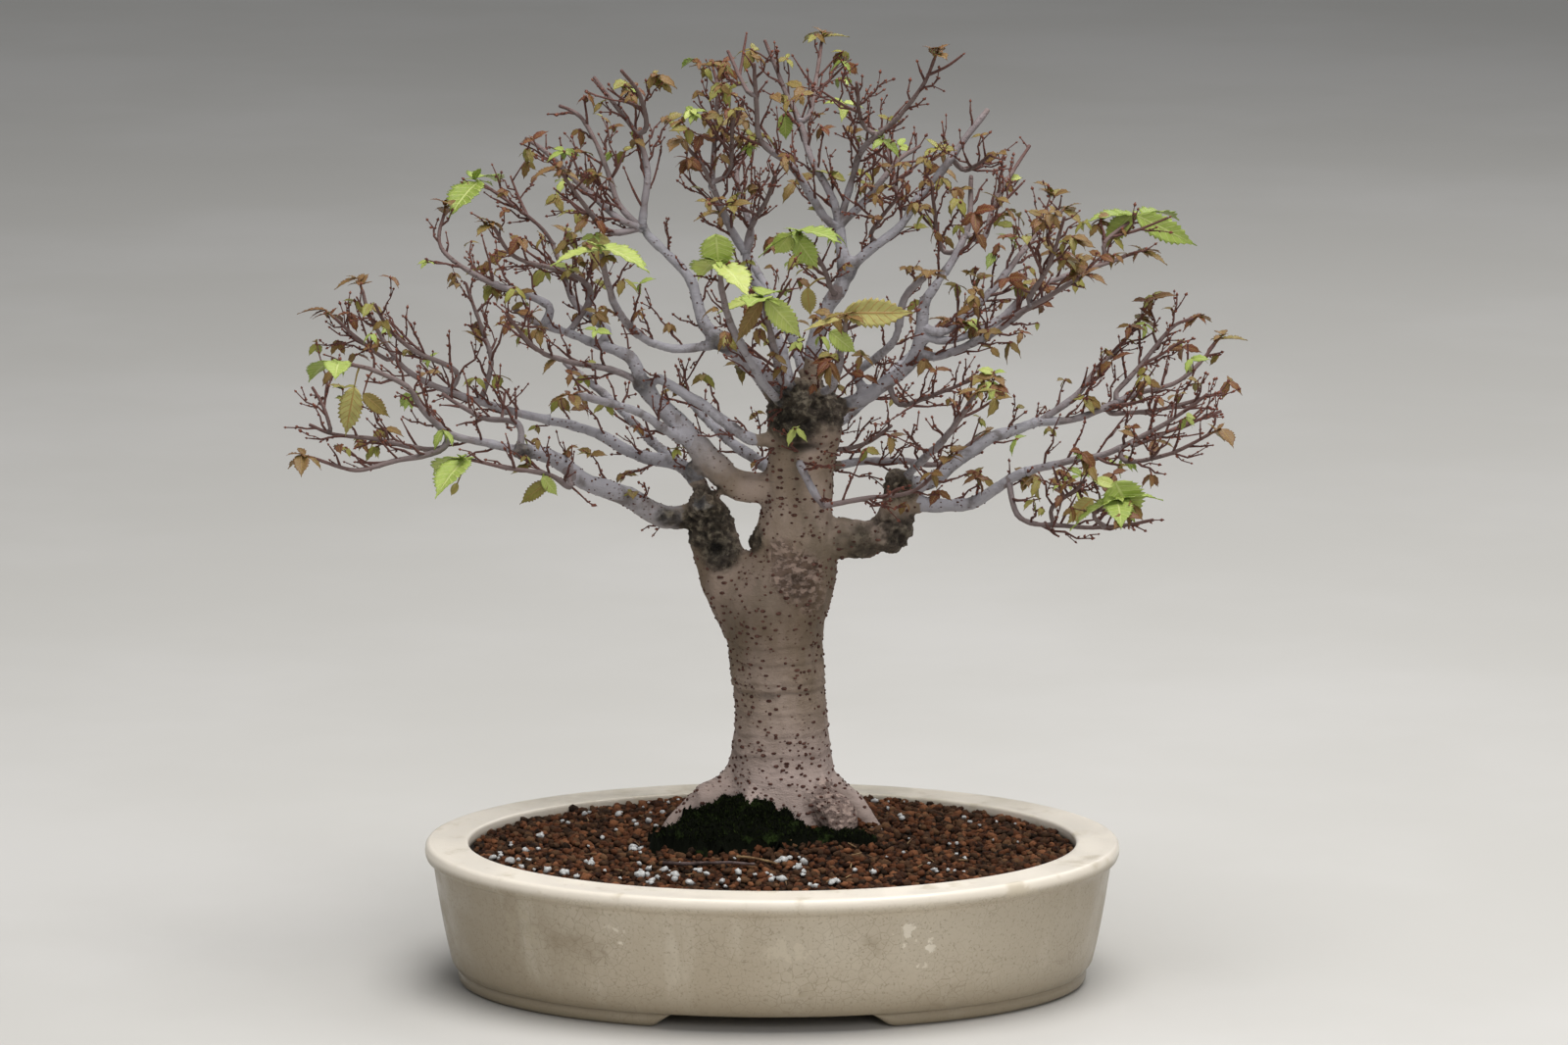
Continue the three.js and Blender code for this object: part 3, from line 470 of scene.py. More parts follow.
class Nodes:
    """The nodes of one material or effect."""

    def __init__(self, tree):
        self.tree = tree

    def add(self, kind, values=None, **settings):
        node = self.tree.nodes.new(kind)
        for name, setting in settings.items():
            setattr(node, name, setting)
        for socket, value in (values or {}).items():
            if isinstance(value, bpy.types.NodeSocket):
                self.tree.links.new(value, node.inputs[socket])
            else:
                node.inputs[socket].default_value = value
        return node

    def math(self, operation, *values):
        node = self.add("ShaderNodeMath", dict(enumerate(values)), operation=operation)
        return node.outputs[0]

    def span(self, value, low, high, to_low=0.0, to_high=1.0):
        values = {"Value": value, 1: low, 2: high, 3: to_low, 4: to_high}
        node = self.add("ShaderNodeMapRange", values, interpolation_type="SMOOTHSTEP")
        return node.outputs["Result"]

    def blend(self, low, high, factor):
        node = self.add("ShaderNodeMix", {0: factor, 6: low, 7: high}, data_type="RGBA")
        return node.outputs[2]

    def noise(self, vector, scale, detail=4.0, rough=0.55):
        node = self.add("ShaderNodeTexNoise", {"Vector": vector, "Scale": scale, "Detail": detail,
                                               "Roughness": rough})
        return node.outputs["Fac"]

    def stretched(self, vector, x, y, z):
        node = self.add("ShaderNodeVectorMath", {0: vector, 1: (x, y, z)}, operation="MULTIPLY")
        return node.outputs[0]

    def mark(self, name):
        return self.add("ShaderNodeAttribute", attribute_name=name).outputs["Fac"]

    def place(self):
        return self.add("ShaderNodeTexCoord").outputs["Object"]

    def group(self, effect, values):
        return self.add("ShaderNodeGroup", values, node_tree=effect).outputs


def new_effect(name, inputs, outputs):
    tree = bpy.data.node_groups.new(name, "ShaderNodeTree")
    kinds = {"value": "NodeSocketFloat", "colour": "NodeSocketColor", "vector": "NodeSocketVector"}
    for label, kind, default in inputs:
        socket = tree.interface.new_socket(name=label, in_out="INPUT", socket_type=kinds[kind])
        if default is not None:
            socket.default_value = default
    for label, kind in outputs:
        tree.interface.new_socket(name=label, in_out="OUTPUT", socket_type=kinds[kind])
    nodes = Nodes(tree)
    return tree, nodes, nodes.add("NodeGroupInput").outputs, nodes.add("NodeGroupOutput").inputs


def new_material(name, roughness=0.8, coat=0.0, specular=0.5):
    material = bpy.data.materials.new(name)
    material.use_nodes = True
    shader = material.node_tree.nodes["Principled BSDF"]
    shader.inputs["Roughness"].default_value = roughness
    shader.inputs["Coat Weight"].default_value = coat
    shader.inputs["Specular IOR Level"].default_value = specular
    return material, Nodes(material.node_tree), shader


def finish_material(nodes, shader, base, height=None, strength=0.5, reach=0.001, rough=None):
    nodes.tree.links.new(base, shader.inputs["Base Color"])
    if rough is not None:
        nodes.tree.links.new(rough, shader.inputs["Roughness"])
    if height is not None:
        bump = nodes.add("ShaderNodeBump", {"Height": height, "Strength": strength, "Distance": reach})
        nodes.tree.links.new(bump.outputs[0], shader.inputs["Normal"])


def make_mottle():
    """Two colours in soft patches, as on glaze, bark, soil and leaves."""
    tree, nodes, given, out = new_effect(
        "mottle",
        [("Place", "vector", None), ("Scale", "value", 20.0), ("Low", "value", 0.4),
         ("High", "value", 0.6), ("Ground", "colour", None), ("Patch", "colour", None)],
        [("Colour", "colour"), ("Mask", "value")],
    )
    patch = nodes.noise(given["Place"], given["Scale"], 5.0)
    mask = nodes.span(patch, given["Low"], given["High"])
    tree.links.new(nodes.blend(given["Ground"], given["Patch"], mask), out["Colour"])
    tree.links.new(mask, out["Mask"])
    return tree


def make_grain():
    """Fine relief at two sizes."""
    tree, nodes, given, out = new_effect(
        "grain", [("Place", "vector", None), ("Scale", "value", 200.0), ("Fine", "value", 0.4)],
        [("Height", "value")],
    )
    coarse = nodes.noise(given["Place"], given["Scale"], 3.0)
    fine_scale = nodes.math("MULTIPLY", given["Scale"], 4.3)
    fine = nodes.noise(given["Place"], fine_scale, 2.0)
    height = nodes.math("ADD", coarse, nodes.math("MULTIPLY", fine, given["Fine"]))
    tree.links.new(height, out["Height"])
    return tree


def make_veins():
    """Midrib and side veins of a leaf from its own length and width."""
    tree, nodes, given, out = new_effect(
        "leaf veins", [("Along", "value", 0.0), ("Across", "value", 0.0), ("Pairs", "value", 9.0)],
        [("Mask", "value")],
    )
    side = nodes.math("ABSOLUTE", given["Across"])
    back = nodes.math("SUBTRACT", given["Along"], nodes.math("MULTIPLY", side, 0.16))
    wave = nodes.math("PINGPONG", nodes.math("MULTIPLY", back, given["Pairs"]), 0.5)
    ribs = nodes.span(wave, 0.03, 0.13, 0.75, 0.0)
    midrib = nodes.span(side, 0.03, 0.1, 1.0, 0.0)
    tree.links.new(nodes.math("MAXIMUM", ribs, midrib), out["Mask"])
    return tree


mottle = make_mottle()
grain = make_grain()
veins = make_veins()


# Materials

# Pale flecks, streaks and stains of the glaze: [x, y, z, reach, colour, share]
GLAZE_SPOTS = [
    (82, -134, 57, 11, "EBE2D0", 0.7), (90, -136, 43, 14, "EEE5D3", 0.85),
    (98, -134, 52, 9, "EBE2D0", 0.75), (118, -127, 56, 8, "EEE5D3", 0.85),
    (112, -130, 50, 10, "E6DBC7", 0.6), (-92, -133, 52, 11, "EBE2D0", 0.75),
    (10, -141, 50, 11, "D8CCB6", 0.4), (14, -141, 22, 12, "D3C7B0", 0.4),
    (52, -141, 53, 2.0, "4E3626", 0.95), (168, -78, 17, 9, "D9CFB0", 0.8),
    (-150, -96, 52, 14, "C9BCA2", 0.4), (60, -136, 14, 16, "B9AB92", 0.35),
]


def make_glaze():
    material, nodes, shader = new_material("cream_glaze", roughness=0.35, coat=0.18)
    place_now = nodes.place()
    wide = nodes.group(mottle, {"Place": place_now, "Scale": 9.0, "Low": 0.36, "High": 0.68,
                                "Ground": colour("B7A992"), "Patch": colour("C6BAA5")})
    drawn_down = nodes.stretched(place_now, 1, 1, 0.16)
    streak = nodes.group(mottle, {"Place": drawn_down, "Scale": 62.0, "Low": 0.5, "High": 0.8,
                                  "Ground": wide["Colour"], "Patch": colour("CFC4B0")})
    stain = nodes.group(mottle, {"Place": place_now, "Scale": 30.0, "Low": 0.58, "High": 0.8,
                                 "Ground": streak["Colour"], "Patch": colour("9F9078")})
    speck = nodes.span(nodes.noise(place_now, 620.0, 2.0), 0.56, 0.7, 0.0, 0.5)
    base = nodes.blend(stain["Colour"], colour("8E7F67"), speck)
    cells = nodes.add("ShaderNodeTexVoronoi", {"Vector": place_now, "Scale": 165.0},
                      feature="DISTANCE_TO_EDGE")
    crack = nodes.span(cells.outputs["Distance"], 0.0, 0.05, 1.0, 0.0)
    fade = nodes.math("MULTIPLY", crack, nodes.span(nodes.noise(place_now, 30.0), 0.4, 0.6, 0.08, 0.4))
    base = nodes.blend(base, colour("84745C"), fade)
    for x, y, z, reach, code, share in GLAZE_SPOTS:
        apart = nodes.add("ShaderNodeVectorMath", {0: place_now, 1: (x * MM, y * MM, z * MM)},
                          operation="DISTANCE").outputs["Value"]
        uneven = nodes.span(nodes.noise(place_now, 150.0), 0.35, 0.65, 0.6, 1.7)
        ragged = nodes.math("MULTIPLY", apart, uneven)
        spot = nodes.span(ragged, reach * 0.7 * MM, reach * MM, share, 0.0)
        base = nodes.blend(base, colour(code), spot)
    sides = nodes.add("ShaderNodeSeparateXYZ", {0: place_now})
    # Painted shade: the glaze darkens towards both ends of the pot, more at the left end
    base = nodes.blend(base, colour("7E7059"), nodes.span(sides.outputs["X"], 0.07, 0.185, 0.0, 0.38))
    base = nodes.blend(base, colour("75684F"), nodes.span(sides.outputs["X"], -0.185, -0.07, 0.5, 0.0))
    height = sides.outputs["Z"]
    # Painted highlight: the top of the lip is made paler, as where the overhead light falls on it
    lip = nodes.span(height, 0.0755, 0.0805, 0.0, 0.95)
    base = nodes.blend(base, colour("F6ECDC"), lip)
    worn = nodes.math("MULTIPLY", nodes.span(nodes.noise(place_now, 55.0), 0.55, 0.72, 0.0, 0.6),
                      nodes.span(height, 0.074, 0.079))
    base = nodes.blend(base, colour("CDBFA4"), worn)
    behind = nodes.math("MULTIPLY", nodes.span(sides.outputs["Y"], 0.06, 0.11, 0.0, 0.55),
                        nodes.span(nodes.noise(place_now, 24.0), 0.4, 0.6, 0.5, 1.0))
    base = nodes.blend(base, colour("A0967F"), behind)
    foot = nodes.span(height, 0.006, 0.03, 0.75, 0.0)
    base = nodes.blend(base, colour("94866E"), foot)
    rough = nodes.span(nodes.noise(place_now, 45.0), 0.35, 0.65, 0.28, 0.5)
    relief = nodes.math("SUBTRACT", nodes.group(grain, {"Place": place_now, "Scale": 110.0})["Height"],
                        nodes.math("MULTIPLY", crack, 0.2))
    finish_material(nodes, shader, base, relief, 0.25, 0.0006, rough)
    return material


def make_soil_finish(name, deep, body, light):
    material, nodes, shader = new_material(name, roughness=0.95, specular=0.2)
    place_now = nodes.place()
    tint = nodes.mark("tint")
    base = nodes.blend(colour(deep), colour(body), nodes.span(tint, 0.0, 0.6))
    base = nodes.blend(base, colour(light), nodes.span(tint, 0.66, 1.0))
    patch = nodes.group(mottle, {"Place": place_now, "Scale": 420.0, "Low": 0.4, "High": 0.7,
                                 "Ground": base, "Patch": colour(light)})
    base = nodes.blend(base, patch["Colour"], 0.3)
    relief = nodes.group(grain, {"Place": place_now, "Scale": 700.0, "Fine": 0.6})["Height"]
    finish_material(nodes, shader, base, relief, 0.8, 0.0006)
    return material


def make_bark():
    """Red-brown twigs, lavender grey boughs, a pink-tan trunk and dark rough burls, with painted shade in
    hollows, creases and grooves, on the burls and under the crown.
    """
    material, nodes, shader = new_material("zelkova_bark", roughness=0.8, specular=0.3)
    place_now = nodes.place()
    thick = nodes.mark("thick")
    shade = nodes.mark("shade")
    burl_and_shade = nodes.mark("burl_and_shade")
    flake = nodes.mark("flake")
    height = nodes.add("ShaderNodeSeparateXYZ", {0: place_now}).outputs["Z"]

    base = nodes.blend(colour("5F3E37"), colour("7B6C69"), nodes.span(thick, 0.7, 1.5))
    bough = nodes.group(mottle, {"Place": nodes.stretched(place_now, 1, 1, 0.7), "Scale": 95.0, "Low": 0.5,
                                 "High": 0.68, "Ground": colour("A29FA4"), "Patch": colour("797373")})
    base = nodes.blend(base, bough["Colour"], nodes.span(thick, 1.4, 2.8))

    trunk = nodes.group(mottle, {"Place": nodes.stretched(place_now, 1, 1, 0.6), "Scale": 34.0, "Low": 0.36,
                                 "High": 0.64, "Ground": colour("897866"), "Patch": colour("A69487")})
    body = nodes.blend(trunk["Colour"], colour("C9B5B0"), nodes.span(height, 0.118, 0.17, 0.5, 0.0))
    brown = nodes.math("MULTIPLY", nodes.span(height, 0.165, 0.215),
                       nodes.span(height, 0.243, 0.262, 1.0, 0.0))
    body = nodes.blend(body, colour("5C4A39"), nodes.math("MULTIPLY", brown, 0.42))
    # Darker higher up the trunk: partly damp algae patches, partly painted shade under the crown
    damp_and_crown_shade = nodes.group(mottle, {"Place": nodes.stretched(place_now, 1, 1, 0.4), "Scale": 26.0, "Low": 0.48,
                                "High": 0.66, "Ground": body, "Patch": colour("5F5545")})
    body = nodes.blend(body, damp_and_crown_shade["Colour"], nodes.span(height, 0.14, 0.29, 0.2, 0.75))
    base = nodes.blend(base, body, nodes.span(thick, 5.6, 9.0))

    bands = nodes.noise(nodes.stretched(place_now, 30, 30, 420), 1.0, 4.0)
    base = nodes.blend(base, colour("4A3C34"), nodes.span(bands, 0.6, 0.76, 0.0, 0.22))
    speck = nodes.add("ShaderNodeTexVoronoi", {"Vector": nodes.stretched(place_now, 1, 1, 1.5),
                                               "Scale": 300.0})
    dots = nodes.math("MULTIPLY", nodes.span(speck.outputs["Distance"], 0.12, 0.3, 0.75, 0.0),
                      nodes.span(nodes.noise(place_now, 60.0), 0.42, 0.58))
    base = nodes.blend(base, colour("543830"), dots)

    chips = nodes.noise(nodes.stretched(place_now, 1, 1, 1.5), 230.0, 6.0)
    chip = nodes.span(chips, 0.44, 0.56)
    flaky = nodes.blend(colour("573D33"), colour("B89E91"), chip)
    base = nodes.blend(base, flaky, nodes.math("MULTIPLY", flake, 0.6))
    # Dark crust of the burls: partly the dark gnarled bark and algae, partly painted shade
    burl_crust_and_shade = nodes.group(mottle, {"Place": place_now, "Scale": 240.0, "Low": 0.47, "High": 0.64,
                                 "Ground": colour("272219"), "Patch": colour("736B5B")})
    base = nodes.blend(base, burl_crust_and_shade["Colour"], burl_and_shade)
    # Near-black by the shade mark: painted shade in hollows, burl creases, ring grooves and scar rims, and
    # one real dark scab on the lower trunk
    base = nodes.blend(base, colour("100C08"), shade)

    fine = nodes.group(grain, {"Place": nodes.stretched(place_now, 1, 1, 1.5), "Scale": 260.0, "Fine": 0.5})
    relief = nodes.math("ADD", nodes.math("ADD", fine["Height"], nodes.math("MULTIPLY", dots, 0.6)),
                        nodes.math("MULTIPLY", bands, 0.6))
    rugged = nodes.math("MULTIPLY", nodes.math("ADD", burl_and_shade, flake), nodes.math("MULTIPLY", chip, 1.4))
    finish_material(nodes, shader, base, nodes.math("ADD", relief, rugged), 0.8, 0.0009)
    return material


def make_leaf_finish(name, deep, body, light, rib, roughness):
    material, nodes, shader = new_material(name, roughness=roughness, specular=0.35)
    place_now = nodes.place()
    along = nodes.mark("along")
    across = nodes.mark("across")
    tint = nodes.mark("tint")
    base = nodes.blend(colour(deep), colour(body), nodes.span(tint, 0.0, 0.5))
    base = nodes.blend(base, colour(light), nodes.span(tint, 0.5, 1.0))
    patch = nodes.group(mottle, {"Place": place_now, "Scale": 160.0, "Low": 0.45, "High": 0.7,
                                 "Ground": base, "Patch": colour(deep)})
    base = nodes.blend(base, patch["Colour"], 0.3)
    edge = nodes.span(nodes.math("ABSOLUTE", across), 0.75, 1.05, 0.0, 0.5)
    base = nodes.blend(base, colour(deep), edge)
    rib_mask = nodes.group(veins, {"Along": along, "Across": across, "Pairs": 9.0})["Mask"]
    base = nodes.blend(base, colour(rib), nodes.math("MULTIPLY", rib_mask, 0.65))
    relief = nodes.math("SUBTRACT", nodes.group(grain, {"Place": place_now, "Scale": 500.0})["Height"],
                        nodes.math("MULTIPLY", rib_mask, 1.5))
    finish_material(nodes, shader, base, relief, 0.5, 0.0005)
    shader.inputs["Subsurface Weight"].default_value = 0.12
    shader.inputs["Subsurface Radius"].default_value = (0.6, 1.0, 0.3)
    shader.inputs["Subsurface Scale"].default_value = 0.001
    return material


def make_plain_finish(name, ground, patch, scale, roughness, relief_scale, strength):
    material, nodes, shader = new_material(name, roughness=roughness, specular=0.3)
    place_now = nodes.place()
    coat = nodes.group(mottle, {"Place": place_now, "Scale": scale, "Low": 0.4, "High": 0.65,
                                "Ground": colour(ground), "Patch": colour(patch)})
    relief = nodes.group(grain, {"Place": place_now, "Scale": relief_scale, "Fine": 0.6})["Height"]
    finish_material(nodes, shader, coat["Colour"], relief, strength, 0.0006)
    return material


def make_moss_finish():
    material, nodes, shader = new_material("dark_moss", roughness=1.0, specular=0.1)
    place_now = nodes.place()
    tint = nodes.mark("tint")
    base = nodes.blend(colour("0B0D06"), colour("2A3416"), nodes.math("POWER", tint, 2.0))
    patch = nodes.group(mottle, {"Place": place_now, "Scale": 90.0, "Low": 0.56, "High": 0.72,
                                 "Ground": base, "Patch": colour("3A4A22")})
    base = nodes.blend(base, patch["Colour"], 0.6)
    relief = nodes.group(grain, {"Place": place_now, "Scale": 900.0, "Fine": 0.6})["Height"]
    finish_material(nodes, shader, base, relief, 0.8, 0.0008)
    return material


glaze = make_glaze()
soil_red = make_soil_finish("red_brown_granules", "24130B", "5A3520", "85573A")
soil_grey = make_soil_finish("dark_brown_granules", "1F140C", "452F20", "6F5037")
soil_bed_finish = make_plain_finish("packed_soil", "180D07", "28170B", 150.0, 1.0, 500.0, 1.0)
bark = make_bark()
lenticel_finish = make_plain_finish("red_brown_lenticels", "482D25", "6B4A40", 300.0, 0.85, 900.0, 0.5)
bud_finish = make_plain_finish("bud_scales", "5F3329", "864E3A", 500.0, 0.6, 1500.0, 0.4)
green_leaf = make_leaf_finish("fresh_green_leaf", "7E8E3A", "9AAB52", "B4BC68", "C6CC84", 0.45)
olive_leaf = make_leaf_finish("olive_leaf", "7F6A33", "A09656", "B3AC6A", "A8743F", 0.45)
bronze_leaf = make_leaf_finish("bronze_leaf", "66321D", "7C6036", "8C8E42", "A08450", 0.45)
moss_finish = make_moss_finish()
straw = make_plain_finish("dry_straw", "6E5238", "A08660", 90.0, 0.8, 700.0, 0.5)
dark_stalk = make_plain_finish("dark_stalk", "3E302D", "6E5E5B", 120.0, 0.8, 700.0, 0.6)
grit_finish = make_plain_finish("pale_grit", "BEBEBC", "E0E0DD", 500.0, 0.9, 1200.0, 0.7)
screen_finish = make_plain_finish("woven_screen", "20262A", "2C3438", 200.0, 0.55, 900.0, 0.4)
floor_finish = make_plain_finish("pale_floor", "C8C5BF", "CECBC6", 1.5, 0.75, 30.0, 0.02)


# Pot

# Profile of the foot and of the wall's start as [inset, height], from the foot's inside outwards
FOOT_INSIDE = [(FOOT_WIDTH + 3, FOOT_HEIGHT), (FOOT_WIDTH + 1, FOOT_HEIGHT - 1.0)]
FOOT_PROFILE = [(FOOT_WIDTH, 1.2), (FOOT_WIDTH - 1, 0.2), (FOOT_WIDTH - 3, 0), (3, 0), (1, 0.2),
                (-1.2, 1.4), (-2.2, 3), (-2.6, 5), (-2.4, 7), (-1.4, 8.2)]
WALL_START = [(1.6, 9.4), (1.5, 10.6), (0.6, 12), (0, 14)]
WALL_LOW = 17
WALL_HIGH = 70
UNDER_LIP = [(-0.1, 72), (-0.9, 73.2)]

# The lip as [inset, drop from the top]: its outside, its rounding, its flat top and its inside
LIP_SIDE = [(0.8, 8.6), (0.2, 7), (-0.1, 5), (0, 3)]
LIP_ROUND = 2.6
LIP_ROUND_DROP = 3
LIP_TOP = (6, 10, 14, 18, 21, 23)
LIP_DISH = 0.35
LIP_INSIDE = [(0.9, 0.2), (0.3, 0.8), (0, 1.8), (0, 5)]
QUARTER_STEPS = (0.3, 0.6, 0.85, 1.0)
DRILL_SIDES = 48
DRILL_LENGTH = 40


def oval(half_length, half_depth, z, sides=POT_SIDES):
    angle = 2 * math.pi * np.arange(sides) / sides
    return np.stack([half_length * np.cos(angle), half_depth * np.sin(angle), np.full(sides, float(z))], 1)


def wall_oval(z, inset, sides=POT_SIDES):
    rise = (z / POT_HEIGHT) ** WALL_BOW
    return oval(mix(FOOT_HALF_LENGTH, POT_HALF_LENGTH - LIP_OVERHANG, rise) - inset,
                mix(FOOT_HALF_DEPTH, POT_HALF_DEPTH - LIP_OVERHANG, rise) - inset, z, sides)


def inner_rings(gap, sides=POT_SIDES):
    under_rim = POT_HEIGHT - LIP_HEIGHT - gap
    rings = [oval(POT_HALF_LENGTH - RIM_WIDTH - gap, POT_HALF_DEPTH - RIM_WIDTH - gap, under_rim, sides),
             wall_oval(under_rim - 3, WALL_THICKNESS + gap, sides)]
    for level in np.linspace(under_rim - 6, FLOOR_TOP + FLOOR_ROUND, 8):
        rings.append(wall_oval(level, WALL_THICKNESS + 2 + gap, sides))
    for share in QUARTER_STEPS:
        turn = share * math.pi / 2
        drop = FLOOR_ROUND * math.sin(turn)
        rings.append(wall_oval(FLOOR_TOP + FLOOR_ROUND - drop + gap,
                               WALL_THICKNESS + 2 + gap + FLOOR_ROUND * (1 - math.cos(turn)), sides))
    return rings


def make_pot():
    def lip(inset, drop):
        return oval(POT_HALF_LENGTH - inset, POT_HALF_DEPTH - inset, POT_HEIGHT - drop)

    def foot(inset, z):
        return oval(FOOT_HALF_LENGTH - inset, FOOT_HALF_DEPTH - inset, z)

    def cut_open(ring, z):
        slope = (CUT_BOTTOM_WIDTH - CUT_TOP_WIDTH) / 2
        share = np.clip((CUT_BOTTOM_WIDTH / 2 - np.abs(ring[:, 0])) / slope, 0, 1)
        ring[:, 2] = np.maximum(ring[:, 2], CUT_HEIGHT * share + z * (1 - share))
        return ring

    rings = [foot(inset, z) for inset, z in FOOT_INSIDE]
    rings += [cut_open(foot(inset, z), z) for inset, z in FOOT_PROFILE]
    rings += [wall_oval(z, inset) for inset, z in WALL_START]
    rings += [wall_oval(z, 0) for z in np.linspace(WALL_LOW, WALL_HIGH, 20)]
    rings += [wall_oval(z, inset) for inset, z in UNDER_LIP]
    rings += [lip(inset, drop) for inset, drop in LIP_SIDE]
    for share in QUARTER_STEPS:
        turn = share * math.pi / 2
        inset = LIP_ROUND * (1 - math.cos(turn))
        drop = LIP_ROUND_DROP - LIP_ROUND_DROP * math.sin(turn)
        rings.append(lip(inset, drop))
    for inset in LIP_TOP:
        rings.append(lip(inset, LIP_DISH * math.sin(math.pi * (inset - LIP_ROUND) / 21)))
    rings += [lip(RIM_WIDTH - back, drop) for back, drop in LIP_INSIDE]
    rings += inner_rings(0)
    build = Build()
    loft(build, rings, at(0, 0, FOOT_HEIGHT), at(0, 0, FLOOR_TOP))
    piece = place("glazed_pot", build.mesh("glazed_pot"), glaze, "glaze", "pot")
    for side in (-1, 1):
        bpy.ops.mesh.primitive_cylinder_add(vertices=DRILL_SIDES, radius=DRAIN_RADIUS * MM,
                                            depth=DRILL_LENGTH * MM,
                                            location=(side * DRAIN_OFFSET * MM, 0, FLOOR_TOP * MM))
        drill = bpy.context.object
        cut = piece.modifiers.new("drain", "BOOLEAN")
        cut.operation = "DIFFERENCE"
        cut.object = drill
        cut.solver = "EXACT"
        bpy.context.view_layer.update()
        shaped = bpy.data.meshes.new_from_object(piece.evaluated_get(bpy.context.evaluated_depsgraph_get()))
        piece.modifiers.clear()
        piece.data = shaped
        bpy.data.objects.remove(drill)


# Soil and what lies on it

def round_stone():
    """Points and faces of a ball made of 24 four-sided faces."""
    steps = (-1, 0, 1)
    places = [(x, y, z) for x in steps for y in steps for z in steps if x or y or z]
    faces = []
    for axis in range(3):
        for side in (-1, 1):
            for a in (-1, 0):
                for b in (-1, 0):
                    corners = [(a, b), (a + 1, b), (a + 1, b + 1), (a, b + 1)][::side]
                    face = []
                    for first, second in corners:
                        corner = [0, 0, 0]
                        corner[axis] = side
                        corner[(axis + 1) % 3] = first
                        corner[(axis + 2) % 3] = second
                        face.append(places.index(tuple(corner)))
                    faces.append(face)
    points = np.array(places, float)
    return points / np.linalg.norm(points, axis=1)[:, None], np.array(faces)


BALL_POINTS, BALL_FACES = round_stone()
STONE_SQUASH = (1, 1, 0.8)

# Granules on the bed: radii and how common each is, rows and columns each way from the middle
GRANULE_RADII = (1.6, 2.0, 2.4, 2.8, 3.2)
GRANULE_SHARES = (0.14, 0.26, 0.3, 0.2, 0.1)
GRANULE_ROWS = 32
GRANULE_COLUMNS = 42
GRANULE_JITTER = 1.3
GRANULE_MARGIN = 2.4
RED_SHARE = 0.58
ROW_PITCH = 0.866
BED_DEPTH = 2.2


def scatter_stones(build, centres, sizes, draw, rough=0.16):
    """Irregular crumbs, each turned and shaped by its own draw."""
    for centre, size in zip(centres, sizes):
        turn = Euler(draw.uniform(0, 6.28, 3)).to_matrix()
        swell = 1 + draw.normal(0, rough, len(BALL_POINTS))
        flat = draw.uniform(0.72, 1.1, 3)
        shape = BALL_POINTS * swell[:, None] * flat
        shape = shape @ np.array(turn).T * np.array(STONE_SQUASH)
        build.add(centre + shape * size, BALL_FACES, tint=draw.uniform(0, 1))


def on_wood(x, y, margin):
    """Whether a place on the soil is covered by the trunk's foot or a surface root."""
    if math.hypot(x - TRUNK_SIDE, y - TREE_DEPTH) < 34 + margin:
        return True
    for root in ROOTS:
        for (x0, y0, _, r0), (x1, y1, _, r1) in zip(root, root[1:]):
            span = at(x1 - x0, y1 - y0)
            share = np.clip(((x - x0) * span[0] + (y - y0) * span[1]) / span.dot(span), 0, 1)
            gap = math.hypot(x - x0 - share * span[0], y - y0 - share * span[1])
            if gap < mix(r0, r1, share) * 0.8 + margin:
                return True
    return False


def make_soil():
    draw = np.random.RandomState(SEEDS["soil"])
    below = inner_rings(WALL_GAP, SOIL_SIDES)[::-1]
    inset = RIM_WIDTH + WALL_GAP
    rings = list(below)
    for share in np.linspace(1, 0.06, 24):
        ring = oval((POT_HALF_LENGTH - inset) * share, (POT_HALF_DEPTH - inset) * share, 0, SOIL_SIDES)
        relief = draw.uniform(-0.5, 0.5, SOIL_SIDES)
        ring[:, 2] = soil_height(ring[:, 0], ring[:, 1]) - BED_DEPTH + relief
        rings.append(ring)
    bed = Build()
    loft(bed, rings, at(0, 0, FLOOR_TOP + WALL_GAP), at(0, 0, soil_height(0, 0) - BED_DEPTH))
    place("soil_bed", bed.mesh("soil_bed"), soil_bed_finish, "soil", "soil")

    builds = (Build("tint"), Build("tint"))
    half_length = POT_HALF_LENGTH - RIM_WIDTH - GRANULE_MARGIN
    half_depth = POT_HALF_DEPTH - RIM_WIDTH - GRANULE_MARGIN
    lists = ([], [])
    for row in range(-GRANULE_ROWS, GRANULE_ROWS + 1):
        y = row * GRANULE_PITCH * ROW_PITCH
        for column in range(-GRANULE_COLUMNS, GRANULE_COLUMNS + 1):
            x = (column + 0.5 * (row % 2)) * GRANULE_PITCH
            px = x + draw.uniform(-GRANULE_JITTER, GRANULE_JITTER)
            py = y + draw.uniform(-GRANULE_JITTER, GRANULE_JITTER)
            if math.hypot(px / half_length, py / half_depth) > 1 or on_wood(px, py, -4):
                continue
            radius = draw.choice(GRANULE_RADII, p=GRANULE_SHARES)
            height = soil_height(px, py) - 1.0 + draw.uniform(-1.3, 1.1)
            lists[0 if draw.uniform() < RED_SHARE else 1].append((px, py, height, radius))
    for build, rows in zip(builds, lists):
        rows = np.array(rows)
        scatter_stones(build, rows[:, :3], rows[:, 3], draw)
    place("soil_granules_red", builds[0].mesh("soil_granules_red"), soil_red, "soil")
    place("soil_granules_grey", builds[1].mesh("soil_granules_grey"), soil_grey, "soil")


